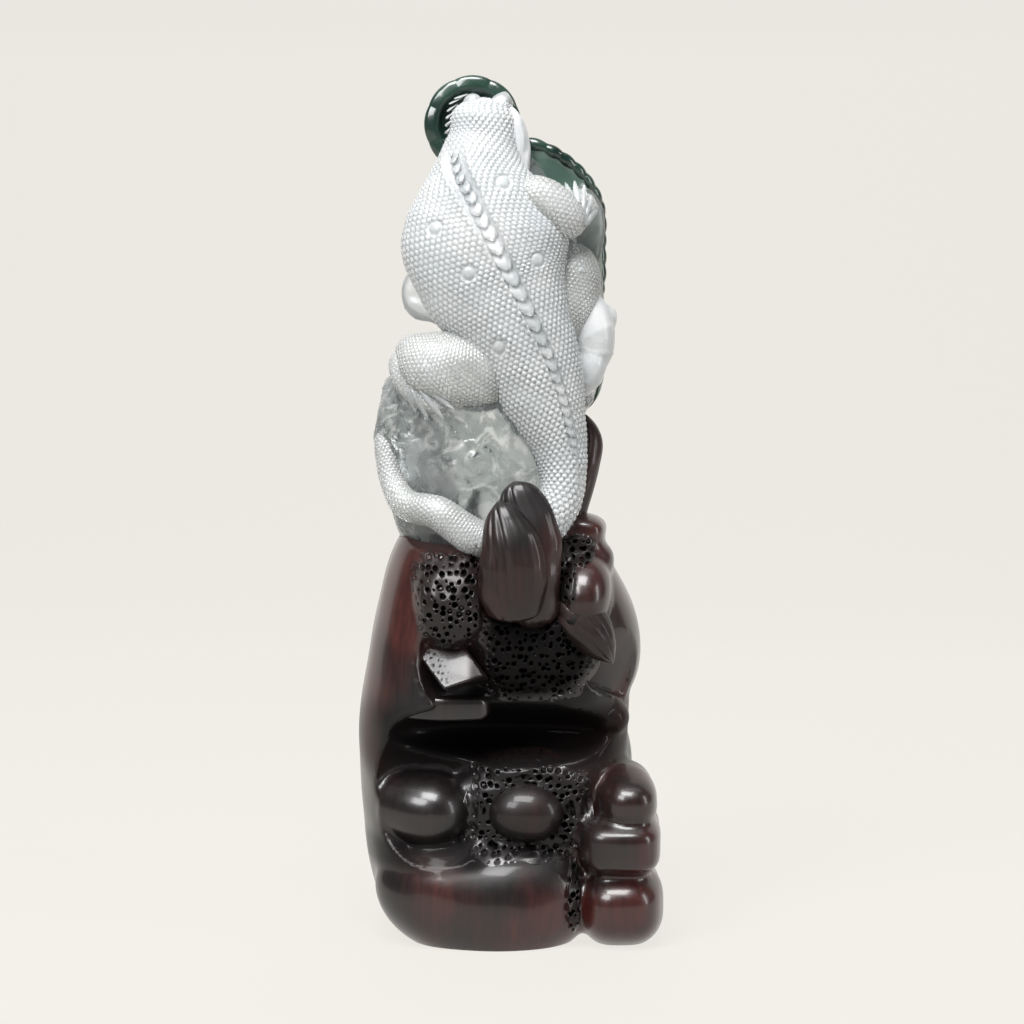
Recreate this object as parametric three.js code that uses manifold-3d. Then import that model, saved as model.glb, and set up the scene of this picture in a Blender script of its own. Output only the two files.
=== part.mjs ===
// A quartz carving of a lizard on rock, with dark green leaves in the same stone, seated in a
// carved rosewood stand. Millimetres, +Z up, +X to the right and -Y towards the viewer.
// The origin is on the table, on the flat underside of the stand.
import * as THREE from 'three';
import { mergeVertices } from 'three/addons/utils/BufferGeometryUtils.js';
import Module from 'manifold-3d';

const wasm = await Module();
wasm.setup();

// Driving sizes
const woodHeight = 150;
const stoneHeight = 180;
const seatDepth = 10;
const seatClearance = 0.35;
const leafThickness = 3.4;
const crestHeight = 3.6;
const crestWidth = 3.2;
const crestCount = 28;
const fingerWidth = 3.0;
const toeWidth = 2.6;

// Both free forms keep their proportions. Their tables are drawn for these two heights.
const woodDrawnAt = 150;
const stoneDrawnAt = 180;
const woodShare = woodHeight / woodDrawnAt;
const stoneShare = stoneHeight / stoneDrawnAt;
const seat = woodHeight - seatDepth;

const towardsViewer = new THREE.Vector3(0, -1, 0);
const degree = Math.PI / 180;

// Curves and sections

// The routes are drawn as rows of x, y, z, half width and half depth. This gives the section at
// share t of the route: its centre, its two directions and its two half sizes.
function sectionAt(rows, t, face = towardsViewer) {
  const route = new THREE.CatmullRomCurve3(rows.map((r) => new THREE.Vector3(r[0], r[1], r[2])), false, 'catmullrom');
  const girth = new THREE.CatmullRomCurve3(rows.map((r) => new THREE.Vector3(r[3], r[4], 0)), false, 'catmullrom');
  const step = 1e-4;
  const along = route.getPoint(Math.min(t + step, 1)).sub(route.getPoint(Math.max(t - step, 0))).normalize();
  const side = new THREE.Vector3().crossVectors(face, along).normalize();
  const out = new THREE.Vector3().crossVectors(along, side).normalize();
  const size = girth.getPoint(t);
  return { centre: route.getPoint(t), along, side, out, wide: Math.max(size.x, 0.05), deep: Math.max(size.y, 0.05) };
}

// A point on a section, at an angle counted from the viewer's side towards +X.
function onSection(section, angle, scale = 1, power = 2) {
  const squared = (v) => Math.sign(v) * Math.abs(v) ** (2 / power);
  return section.centre.clone()
    .addScaledVector(section.side, section.wide * scale * squared(Math.sin(angle)))
    .addScaledVector(section.out, section.deep * scale * squared(Math.cos(angle)));
}

// Closed skin over rings of points, with a pole at each end, its faces pointing out.
function skin(rings, firstPole, lastPole) {
  const sides = rings[0].length;
  const points = [firstPole, ...rings.flat(), lastPole];
  const last = points.length - 1;
  const faces = [];
  for (let j = 0; j < sides; j += 1) {
    const next = (j + 1) % sides;
    faces.push(0, 1 + next, 1 + j);
    for (let i = 0; i < rings.length - 1; i += 1) {
      const a = 1 + i * sides;
      const b = a + sides;
      faces.push(a + j, a + next, b + j, a + next, b + next, b + j);
    }
    const end = 1 + (rings.length - 1) * sides;
    faces.push(last, end + j, end + next);
  }
  let volume = 0;
  for (let k = 0; k < faces.length; k += 3) {
    const [a, b, c] = [points[faces[k]], points[faces[k + 1]], points[faces[k + 2]]];
    volume += a.dot(new THREE.Vector3().crossVectors(b, c));
  }
  if (volume < 0) faces.reverse();
  const geometry = new THREE.BufferGeometry();
  geometry.setAttribute('position', new THREE.Float32BufferAttribute(points.flatMap((p) => p.toArray()), 3));
  geometry.setIndex(faces);
  return geometry;
}

// A limb, trunk or boulder: sections carried along its route, rounded off over a share of each end.
function sweep(rows, { steps = 8, sides = 12, round = [0.5, 0.5], power = 2, grow = 0, face = towardsViewer } = {}) {
  const first = sectionAt(rows, 0, face);
  const final = sectionAt(rows, 1, face);
  const grown = rows.map((r) => [r[0], r[1], r[2], r[3] + grow, r[4] + grow]);
  const n = grown.length - 1;
  for (let k = 0; k < 3; k += 1) {
    grown[0][k] -= first.along.getComponent(k) * grow;
    grown[n][k] += final.along.getComponent(k) * grow;
  }
  const ball = (share) => Math.sqrt(Math.max(0, 1 - (1 - Math.min(share, 1)) ** 2));
  const crowding = 0.9;
  const rings = [];
  for (let i = 1; i < steps; i += 1) {
    const u = i / steps;
    const t = u - (crowding * Math.sin(2 * Math.PI * u)) / (2 * Math.PI);
    const section = sectionAt(grown, t, face);
    const scale = ball(t / round[0]) * ball((1 - t) / round[1]);
    rings.push(Array.from({ length: sides }, (_, j) => onSection(section, (2 * Math.PI * j) / sides, scale, power)));
  }
  return skin(rings, sectionAt(grown, 0, face).centre, sectionAt(grown, 1, face).centre);
}

// Turns a geometry about a point, by degrees about X, then Y, then Z.
function turned(geometry, [x, y, z], tilt) {
  const euler = new THREE.Euler(tilt[0] * degree, tilt[1] * degree, tilt[2] * degree, 'ZYX');
  return geometry.translate(-x, -y, -z).applyMatrix4(new THREE.Matrix4().makeRotationFromEuler(euler)).translate(x, y, z);
}

// An ellipsoid, or a squarer pebble at a higher power: centre, three half sizes and a tilt.
function pebble([x, y, z], [rx, ry, rz], { tilt = [0, 0, 0], ...options } = {}) {
  const form = sweep([[x, y, z - rz, rx, ry], [x, y, z + rz, rx, ry]], { steps: 6, sides: 10, ...options });
  return turned(form, [x, y, z], tilt);
}

// A leaf: a round sheet carried on a curved surface, with a wavy rim. place(u, v) gives the middle
// of the sheet for u and v from -1 to 1.
function leaf(place, { thickness, scallops, wave, rings = 3, grow = 0 }) {
  const sectors = scallops * 2;
  const step = 1e-3;
  const at = (u, v) => {
    const p = place(u, v);
    const du = place(u + step, v).sub(place(u - step, v));
    const dv = place(u, v + step).sub(place(u, v - step));
    return { p, normal: new THREE.Vector3().crossVectors(du, dv).normalize() };
  };
  const sheet = (sign) => Array.from({ length: rings }, (_, i) => {
    const reach = (i + 1) / rings;
    return Array.from({ length: sectors }, (__, j) => {
      const angle = (2 * Math.PI * j) / sectors;
      const rim = reach * (1 + wave * reach ** 3 * (j % 2 ? -1 : 1));
      const { p, normal } = at(rim * Math.cos(angle), rim * Math.sin(angle));
      return p.addScaledVector(normal, sign * (thickness / 2 * (1 - 0.45 * reach ** 4) + grow));
    });
  });
  const top = sheet(1);
  const bottom = sheet(-1);
  const middle = at(0, 0);
  const half = thickness / 2 + grow;
  return skin(
    [...top, ...bottom.reverse()],
    middle.p.clone().addScaledVector(middle.normal, half),
    middle.p.clone().addScaledVector(middle.normal, -half),
  );
}

// Solids

function solid(geometry) {
  const plain = geometry.clone();
  plain.deleteAttribute('normal');
  plain.deleteAttribute('uv');
  const merged = mergeVertices(plain, 1e-4);
  return new wasm.Manifold(new wasm.Mesh({
    numProp: 3,
    vertProperties: Float32Array.from(merged.attributes.position.array),
    triVerts: Uint32Array.from(merged.index.array),
  }));
}

const joined = (geometries) => geometries.map(solid).reduce((a, b) => a.add(b));

const scaled = (rows, share) => rows.map((r) => r.map((v) => v * share));

function block(centre, size, tilt = [0, 0, 0]) {
  return turned(new THREE.BoxGeometry(...size).translate(...centre), centre, tilt);
}

// Everything on the far side of a plane through a point, as a cutter that leaves a flat facet.
function beyond([x, y, z], [nx, ny, nz], reach) {
  const normal = new THREE.Vector3(nx, ny, nz).normalize();
  const box = new THREE.BoxGeometry(reach, reach, reach).translate(0, 0, reach / 2);
  return box.applyQuaternion(new THREE.Quaternion().setFromUnitVectors(new THREE.Vector3(0, 0, 1), normal)).translate(x, y, z);
}

// Keeps the one body that carries the form and drops loose crumbs that a cut leaves.
function mainBody(manifold) {
  return manifold.decompose().sort((a, b) => b.volume() - a.volume())[0];
}

// The stone. Rows are x, y, z, half width, half depth, with z above the seat.

const lizardTrunk = [
  [-12.5, -6, 163, 9, 9],
  [-11, -9, 154.3, 12, 11],
  [-12, -12, 144.4, 16.5, 13],
  [-11.4, -15, 132.3, 24.6, 15],
  [-10, -17, 117.7, 30, 17],
  [-6.6, -18, 103, 26.8, 17],
  [-0.7, -19, 88.4, 21.5, 16],
  [5.5, -19, 73.7, 18.5, 14.5],
  [11, -19, 59, 15.5, 13],
  [16.5, -19, 44.4, 11, 10.5],
  [18.7, -20, 32.3, 8.4, 8.4],
  [16.9, -22, 21.3, 7.4, 7.4],
  [10.3, -24, 12.4, 7, 7],
  [0, -25, 8.4, 6.8, 6.8],
  [-12.5, -26, 10, 6.6, 6.6],
  [-26.4, -25, 20.2, 6, 6],
  [-40.3, -19, 25.8, 4.6, 4.6],
  [-45.8, -13, 35.2, 3.6, 3.6],
  [-48.6, -9, 51.7, 2, 2],
];

// Where the crest runs round each of those sections, in degrees from the viewer's side.
const crestAngles = [-80, -64, -34, -10, 4, 13, 20, 25, 29, 31, 35, 40, 40, 40, 40, 40, 40, 40, 40];
const crestEndsAt = 0.62;

const limbs = {
  skull: [[-12.5, -7, 148, 12.5, 11.5], [-11.3, -8, 156, 12.4, 11.3], [-10.6, -8.2, 163, 12, 10.6], [-10.6, -8, 169.4, 10.5, 9]],
  snout: [[-9, -8, 158, 7, 7], [-6, -8, 165, 6, 6], [-3.2, -7.6, 170.5, 4, 4.4], [-2.2, -7.2, 174.4, 2.2, 2.6]],
  jaw: [[0.6, -7, 138, 5, 6], [1.4, -7.2, 145, 5, 6.4], [1.4, -7.4, 152.5, 5.2, 6.6], [0, -7.2, 161, 4.4, 5.6], [-2, -7, 168.5, 3, 4]],
  leftThigh: [[3, -19, 71, 11, 9], [-14, -22, 69, 13, 9.5], [-28.5, -22, 72, 12.8, 9.5], [-41.5, -18, 79.5, 9.3, 8.5]],
  leftShin: [[-42, -18, 77, 5.4, 5], [-38, -21.5, 65, 4.6, 4.2], [-31, -24.5, 58.5, 3.8, 3.6], [-24, -25.5, 56.5, 2.6, 3]],
  rightArm: [[3, -19, 137, 7.4, 7], [14, -21, 133, 7.6, 7], [24.5, -17, 123.6, 7, 7]],
  rightHand: [[21, -17, 124, 5, 5], [25.5, -14, 129, 5.6, 4.6], [28.5, -10, 134, 4.4, 3.6]],
  leftArm: [[-22, -9, 139, 5, 5], [-30, -8, 127, 5, 5.4], [-33.5, -4, 111, 4.4, 5]],
  rightThigh: [[18, -13, 76, 7, 6], [23.5, -12, 91, 10.4, 8], [25, -9, 105, 10.8, 9], [27, -4, 120, 8, 8]],
};

const fingers = {
  root: [25.5, -19, 123],
  tips: [[19.8, -12, 138.6], [22.8, -11, 139.4], [26.2, -10, 138], [29, -10, 134.8], [30.6, -11, 130]],
  lift: 2.5,
};

const toes = {
  root: [-40.5, -22, 71],
  tips: [[-35, -24.5, 54.5], [-30.5, -27, 52.5], [-25, -28.4, 53], [-20.5, -28.4, 55.5]],
  lift: 1.6,
};

const rock = [
  [-12.2, 4, 0, 26.5, 21],
  [-12.2, 4, 7, 29, 24],
  [-13, 4, 20, 33, 27],
  [-13, 4, 35, 36.5, 29],
  [-12.5, 4, 49, 38, 30],
  [-10.5, 4, 60, 37, 29],
  [1, 5, 70, 31, 27],
  [7, 6, 82, 28, 24],
  [7.5, 6, 95, 27.5, 24],
  [6, 6, 110, 26, 22],
  [4, 5, 125, 23, 19],
  [-1, 3, 140, 15, 14],
  [-7, 4, 155, 9, 9],
  [-10, 6, 166, 7, 6],
];

// Pebble-like forms on the rock: centre, then half sizes.
const rockBosses = [
  [[-33, -4, 101], [12, 9, 11.4]],
  [[30, -3, 80], [9, 10, 17]],
  [[-14, -23, 42], [9, 5, 9]],
  [[-44, -8, 46], [6.6, 9, 18]],
  [[-16, 26, 50], [18, 12, 26]],
];
const rockHollows = [
  [[-37, -32, 43], [9, 12, 13]],
  [[-20, -33, 58], [14, 9, 8]],
  [[-2, -31, 44], [9, 8, 13]],
  [[14, 36, 52], [17, 12, 20]],
];

// Flat facets left by the saw: a point on each and the way it faces.
const rockFacets = [
  [[-32, -21, 16], [-0.75, -0.6, -0.25]],
  [[-42, 14, 40], [-0.85, 0.5, -0.05]],
  [[24, 18, 70], [0.8, 0.6, 0]],
  [[0, 31, 40], [0.1, 1, -0.15]],
  [[-12, 26, 110], [-0.6, 0.8, 0.1]],
];

const eyes = [[[-14.4, -9.6, 169.6], [4.2, 4, 4]], [[-13, 0, 169], [4, 4, 4]]];

// Two leaves are wrapped on upright oval cylinders: middle is a turn in degrees from the viewer's
// side and a height. The round one at the top is a shallow cup that opens to the viewer.
const sideLeaf = { axis: [12, 12], radii: [23.2, 17.5], middle: [66, 104], half: [62, 19], lean: 34, scallops: 13, wave: 0.02, rings: 4 };
const backLeaf = { axis: [2, 9], radii: [29, 21], middle: [190, 104], half: [38, 24], lean: -22, scallops: 9, wave: 0.02 };
const topLeaf = { centre: [-15.2, 6, 161.8], radius: 17.4, cup: 6, scallops: 10, wave: 0.015 };

function wrappedLeaf(shape, share) {
  const { axis, radii, middle, half, lean } = shape;
  const girth = (radii[0] + radii[1]) / 2;
  return (u, v) => {
    const arc = half[1] * u * Math.cos(lean * degree) - half[0] * v * Math.sin(lean * degree);
    const high = middle[1] + half[0] * v * Math.cos(lean * degree) + half[1] * u * Math.sin(lean * degree);
    const turn = middle[0] * degree + arc / girth;
    return new THREE.Vector3(axis[0] + radii[0] * Math.sin(turn), axis[1] - radii[1] * Math.cos(turn), high).multiplyScalar(share);
  };
}

function cuppedLeaf(shape, share) {
  const { centre, radius, cup } = shape;
  return (u, v) => {
    const reach = u * u + v * v;
    return new THREE.Vector3(centre[0] + radius * u, centre[1] - cup * reach, centre[2] + radius * v).multiplyScalar(share);
  };
}

// Thin digits that fan out from one root, each arched by the same lift.
function digits({ root, tips, lift }, width, options) {
  return tips.map((tip) => {
    const middle = root.map((v, k) => (v + tip[k]) / 2 - (k === 1 ? lift : 0));
    const half = width / 2;
    const rows = scaled([root, middle, tip], stoneShare).map((p) => [...p, half, half]);
    return sweep(rows, { steps: 4, sides: 5, round: [0.2, 0.35], ...options });
  });
}

function crest() {
  const rows = scaled(lizardTrunk, stoneShare);
  const last = crestAngles.length - 1;
  return Array.from({ length: crestCount }, (_, k) => {
    const t = (crestEndsAt * (k + 0.5)) / crestCount;
    const spot = t * last;
    const low = Math.floor(spot);
    const angle = THREE.MathUtils.lerp(crestAngles[low], crestAngles[low + 1], spot - low) * degree;
    const section = sectionAt(rows, t);
    const foot = onSection(section, angle, 0.92);
    const away = foot.clone().sub(section.centre).normalize();
    const fade = 1 - 0.45 * (k / crestCount);
    const spine = new THREE.ConeGeometry(crestWidth * fade, crestHeight * fade, 4);
    spine.translate(0, (crestHeight * fade) / 2, 0);
    spine.applyQuaternion(new THREE.Quaternion().setFromUnitVectors(new THREE.Vector3(0, 1, 0), away));
    return spine.translate(foot.x, foot.y, foot.z);
  });
}

function stoneSolid(grow) {
  const atShare = ([centre, half]) => [centre.map((v) => v * stoneShare), half.map((v) => v * stoneShare)];
  const pebbleAt = (form, options) => pebble(...atShare(form), options);
  const limb = (rows, options) => sweep(scaled(rows, stoneShare), { steps: 6, sides: 8, round: [0.2, 0.3], grow, ...options });
  const rockForm = joined([
    sweep(scaled(rock, stoneShare), { steps: 14, sides: 16, round: [0.03, 0.06], power: 2.3, grow }),
    ...rockBosses.map((form) => pebbleAt(form, { grow })),
  ]).subtract(joined([
    ...rockHollows.map((form) => pebbleAt(form, { grow: -grow })),
    ...rockFacets.map(([point, way]) => {
      const outward = new THREE.Vector3(...way).normalize().multiplyScalar(grow);
      const spot = point.map((v, k) => v * stoneShare + outward.getComponent(k));
      return beyond(spot, way, stoneHeight);
    }),
  ]));
  const living = joined([
    sweep(scaled(lizardTrunk, stoneShare), { steps: 34, sides: 12, round: [0.02, 0.05], grow }),
    limb(limbs.skull),
    limb(limbs.snout, { sides: 7 }),
    limb(limbs.jaw, { sides: 7 }),
    limb(limbs.leftThigh, { sides: 10 }),
    limb(limbs.leftShin),
    limb(limbs.rightArm),
    limb(limbs.rightHand),
    limb(limbs.leftArm),
    limb(limbs.rightThigh),
    ...digits(fingers, fingerWidth, { grow }),
    ...digits(toes, toeWidth, { grow }),
    ...(grow ? [] : crest()),
    ...eyes.map((form) => pebbleAt(form, { grow, steps: 5, sides: 8 })),
  ]);
  const leaves = joined([
    leaf(wrappedLeaf(sideLeaf, stoneShare), { ...sideLeaf, thickness: leafThickness, grow }),
    leaf(wrappedLeaf(backLeaf, stoneShare), { ...backLeaf, thickness: leafThickness, grow }),
    leaf(cuppedLeaf(topLeaf, stoneShare), { ...topLeaf, thickness: leafThickness, grow }),
  ]);
  return rockForm.add(living).add(leaves).translate([0, 0, seat]);
}

// The stand. Rows are x, y, z, half width, half depth, with z above the table.

const leftBoulder = [
  [-13, 8, -4, 22, 36],
  [-13.5, 8, 4, 28.5, 44],
  [-16, 8, 16, 33.5, 48],
  [-20, 8, 32, 35, 50],
  [-22, 8, 54, 35, 49],
  [-23, 8, 76, 34.6, 47],
  [-21.8, 8, 98, 33, 45],
  [-17.5, 7, 128, 31, 41],
  [-13, 6, 140, 28, 35],
  [-10, 6, 147.5, 20, 26],
];
const rightBoulder = [
  [18, 14, -4, 18, 32],
  [18, 14, 20, 27, 42],
  [16, 14, 60, 28, 43],
  [16.5, 13, 90, 28.5, 42],
  [18, 12, 108, 33, 40],
  [13, 10, 131, 25.4, 36],
  [8.5, 8, 147, 21, 30],
  [8, 8, 152, 14, 22],
];
const footRoll = [
  [-42, -7, 26, 13, 13],
  [-31, -21, 19, 20, 21],
  [-8, -24, 14, 23, 23],
  [11, -21, 16, 21, 21],
  [20, -15, 18, 14, 14],
];

// Rounded bosses: centre, half sizes, how square they are, a tilt in degrees and the share of the
// height that is rounded off at each end.
const woodBosses = {
  leftBall: [[-30.5, -21, 50.5], [18.6, 21, 15.4], 2.6, [0, 8, 0], 0.5],
  pittedGround: [[3, -14, 47], [28, 17, 20], 3, [0, 0, 0], 0.3],
  ovalBoss: [[4.8, -24, 49], [13.4, 12, 11.2], 2.3, [0, 0, 0], 0.5],
  rightFoot: [[40, -13, 13.5], [16, 32, 17.4], 3, [0, 0, 0], 0.42],
  rightMiddle: [[40.6, -16, 36.4], [14.8, 29, 12], 4, [0, 0, -3], 0.32],
  rightTop: [[42, -14, 52], [11.6, 28, 12.2], 3.6, [0, 0, 3], 0.36],
  ledgeUnderBuds: [[5, -14, 109], [27, 18, 21], 2.6, [0, 0, 0], 0.5],
  spongeLump: [[-22, -16, 126], [16, 22, 20.4], 2.8, [4, -8, 0], 0.45],
  sideBoulder: [[26, -10, 131], [10, 20, 17], 2.4, [0, 8, 0], 0.5],
  seatLump: [[25.5, -4, 149], [8.2, 14, 9], 3.4, [0, 12, 0], 0.36],
  sideLump: [[37, -10, 81], [7, 12, 7], 2.4, [0, 0, 0], 0.5],
  sideLobe: [[22, 24, 56], [24.5, 27, 36], 2.4, [0, 0, 0], 0.5],
  backFoot: [[14, 36, 22], [29, 27, 27], 2.6, [0, 0, -10], 0.5],
  backBall: [[-24, 36, 54], [23, 24, 27], 2.4, [0, 0, 12], 0.5],
  backShoulder: [[12, 34, 112], [25, 20, 30], 2.5, [0, 10, 0], 0.5],
};
const woodHollows = {
  cave: [[-2, -50, 76], [45, 37, 12.5], 2.8, [0, 0, 0], 0.5],
  ballRecess: [[-29, -48, 57], [27, 31, 28], 2.3, [0, 0, 0], 0.5],
  upperRecess: [[2, -54, 107], [33, 34, 31], 2.8, [0, 0, 0], 0.5],
  groundRecess: [[6, -50, 50], [27, 24, 22], 3.4, [0, 0, 0], 0.4],
  rightRecess: [[46, -42, 94], [14, 26, 10], 2.4, [0, 0, 0], 0.5],
  backCave: [[-6, 66, 88], [32, 26, 11], 2.6, [0, 0, 0], 0.5],
  sideHollow: [[54, 10, 100], [16, 15, 11], 2.3, [0, 0, 20], 0.5],
};

const shelf = { centre: [-22, -24, 98], size: [29, 25, 14], tilt: [42, 8, 12] };
const shelfBar = [[-42, -20, 87, 5, 8], [-26, -28, 86, 5.4, 8], [-9, -25, 86, 4.8, 7]];

// Flat facets of the stand: a point on each and the way it faces.
const woodFacets = [
  [[43, -17, 120], [0.74, -0.62, 0.26]],
  [[-47, 34, 100], [-0.7, 0.7, 0.1]],
];

const buds = {
  front: [[1, -33, 120, 8, 6.5], [0.5, -36, 129, 12.3, 8.5], [0, -38, 143, 12, 8], [-2.5, -36, 155, 8, 6.5], [-5, -33, 163, 2.5, 3]],
  rear: [[8, -28, 116, 9, 8], [8, -31, 134, 9.5, 8], [7, -31, 150, 10.6, 7], [3, -29, 163, 8.4, 6], [1, -27, 170, 3, 4]],
};
const curlLeaf = [[14, -19, 127, 5, 6], [23, -25, 121, 9, 9], [31, -28, 112, 7.5, 8], [37, -27, 103, 1.8, 3]];
const prongs = {
  right: [[19, 2, 146, 7, 8], [23, 0, 160, 6, 7], [27.5, 1, 174, 5.4, 6], [29.5, 3, 184, 4.4, 5], [27.5, 5, 193, 1.6, 2.4]],
  back: [[8, 36, 140, 10, 6], [7, 38, 155, 10, 5.5], [9, 36, 170, 7, 4.5], [12, 32, 180, 2, 2.5]],
  left: [[-24, 30, 138, 10, 7], [-25, 34, 152, 8, 6], [-22, 33, 166, 5, 4.5], [-18, 29, 174, 1.6, 2.4]],
};

// Flutes down the face of a bud, as thin grooves that follow its route.
function flutes(rows, angles, width) {
  return angles.map((angle) => {
    const route = [0.34, 0.56, 0.76, 0.94].map((t) => {
      const spot = onSection(sectionAt(rows, t), angle * degree, t > 0.9 ? 0.7 : 1.0);
      return [spot.x, spot.y, spot.z, width / 2, width / 2];
    });
    return sweep(route, { steps: 4, sides: 5, round: [0.3, 0.2] });
  });
}

const fluteWidth = 2.2;

function woodSolid(stone) {
  const boss = ([centre, half, power, tilt, share], options) => pebble(
    centre.map((v) => v * woodShare),
    half.map((v) => v * woodShare),
    { power, tilt, round: [share, share], ...options },
  );
  const grown = (rows, options) => sweep(scaled(rows, woodShare), { steps: 10, sides: 16, round: [0.04, 0.05], power: 2.5, ...options });
  const mass = joined([grown(leftBoulder), grown(rightBoulder)]);
  const hollowed = mass.subtract(joined([
    ...Object.values(woodHollows).map((form) => boss(form, { steps: 6, sides: 10 })),
    ...woodFacets.map(([point, way]) => beyond(point.map((v) => v * woodShare), way, woodHeight)),
  ]));
  const bosses = joined([
    grown(footRoll, { steps: 8, sides: 12, round: [0.16, 0.16], power: 2.2 }),
    ...Object.values(woodBosses).map((form) => boss(form, {})),
    grown(shelfBar, { steps: 6, sides: 7, round: [0.15, 0.15], power: 2 }),
    block(shelf.centre.map((v) => v * woodShare), shelf.size.map((v) => v * woodShare), shelf.tilt),
    grown(curlLeaf, { steps: 7, sides: 8, round: [0.2, 0.3], power: 2 }),
    ...Object.values(prongs).map((rows) => grown(rows, { steps: 7, sides: 8, round: [0.1, 0.2], power: 2 })),
  ]);
  const budForms = Object.values(buds).map((rows) => {
    const body = solid(grown(rows, { steps: 8, sides: 10, round: [0.1, 0.14], power: 2 }));
    return body.subtract(joined(flutes(scaled(rows, woodShare), [-34, -4, 28], fluteWidth)));
  }).reduce((a, b) => a.add(b));
  const reach = 3 * woodHeight;
  const underTable = solid(block([0, 0, -reach / 2], [reach, reach, reach]));
  return mainBody(hollowed.add(bosses).add(budForms).subtract(underTable).subtract(stone));
}

function named(name, manifold, look) {
  const { vertProperties, triVerts } = manifold.getMesh();
  const geometry = new THREE.BufferGeometry();
  geometry.setAttribute('position', new THREE.Float32BufferAttribute(vertProperties, 3));
  geometry.setIndex(Array.from(triVerts));
  geometry.computeVertexNormals();
  const mesh = new THREE.Mesh(geometry, new THREE.MeshStandardMaterial(look));
  mesh.name = name;
  return mesh;
}

const stoneLook = { color: '#d3dad8', roughness: 0.45, metalness: 0, transparent: true, opacity: 0.85 };
const woodLook = { color: '#2a1210', roughness: 0.28, metalness: 0 };

const group = new THREE.Group();
group.add(named('quartz_carving', mainBody(stoneSolid(0)), stoneLook));
group.add(named('wooden_stand', woodSolid(stoneSolid(seatClearance)), woodLook));

export default group;
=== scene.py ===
import math

import bpy
import numpy as np
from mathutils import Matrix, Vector
from mathutils.bvhtree import BVHTree


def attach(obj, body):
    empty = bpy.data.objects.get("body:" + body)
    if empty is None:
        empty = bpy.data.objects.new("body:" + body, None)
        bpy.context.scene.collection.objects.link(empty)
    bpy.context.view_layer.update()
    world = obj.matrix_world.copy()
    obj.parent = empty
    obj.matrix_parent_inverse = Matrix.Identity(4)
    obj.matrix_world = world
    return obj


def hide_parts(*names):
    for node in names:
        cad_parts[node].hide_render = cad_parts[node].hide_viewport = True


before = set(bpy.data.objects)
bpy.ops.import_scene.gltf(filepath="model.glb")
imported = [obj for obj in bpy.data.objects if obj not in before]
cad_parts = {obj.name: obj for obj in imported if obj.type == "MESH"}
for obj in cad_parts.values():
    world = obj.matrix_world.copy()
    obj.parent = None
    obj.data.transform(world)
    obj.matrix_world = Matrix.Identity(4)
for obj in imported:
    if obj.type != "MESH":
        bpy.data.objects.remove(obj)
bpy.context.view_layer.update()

# A quartz lizard on its rock, with dark green leaves in the same stone, in a rosewood stand.
# Tables are in millimetres. The stone's heights count from the seat, the wood's from the table.
mm = 0.001
seatHeight = 140.0
coarseVoxel = 1.2       # mesh size of forms that are fused before they are cut away or added
towardsViewer = np.array([0.0, -1.0, 0.0])
pieces = {}


# Vectors divided by their own length.
def unit(v):
    return v / np.maximum(np.linalg.norm(v, axis=-1, keepdims=True), 1e-12)


# A sine or cosine whose circle is squared off by a power above 2.
def squaredOff(v, power):
    return np.sign(v) * np.abs(v) ** (2 / power)


# A smooth route through rows of numbers. Between two rows it is a cubic whose slope at each row
# is half the step from the row before it to the row after it.
def routeAt(rows, t):
    rows = np.asarray(rows, float)
    ends = np.vstack([2 * rows[0] - rows[1], rows, 2 * rows[-1] - rows[-2]])
    spot = np.clip(t, 0, 1) * (len(rows) - 1)
    low = np.minimum(spot.astype(int), len(rows) - 2)
    w = (spot - low)[:, None]
    a, b, c, d = (ends[low + k] for k in range(4))
    rise, fall = (c - a) / 2, (d - b) / 2
    return ((2 * w**3 - 3 * w**2 + 1) * b + (w**3 - 2 * w**2 + w) * rise
            + (3 * w**2 - 2 * w**3) * c + (w**3 - w**2) * fall)


# The share of full size near a rounded end: a quarter circle over the first part of the route.
def ball(share):
    return np.sqrt(np.maximum(0, 1 - (1 - np.minimum(share, 1)) ** 2))


# Sections along a route of rows x, y, z, half width, half depth: centre, side, out towards the
# viewer, and the two half sizes, which shrink to nothing over a share of the route at each end.
def sectionsAt(rows, t, rounding, face=towardsViewer):
    rows = np.asarray(rows, float)
    here = routeAt(rows, t)
    step = 1e-4
    ahead = routeAt(rows[:, :3], np.minimum(t + step, 1))
    along = unit(ahead - routeAt(rows[:, :3], np.maximum(t - step, 0)))
    side = unit(np.cross(face, along))
    out = np.cross(along, side)
    shrink = ball(t / rounding[0]) * ball((1 - t) / rounding[1])
    return here[:, :3], along, side, out, here[:, 3] * shrink, here[:, 4] * shrink


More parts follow.
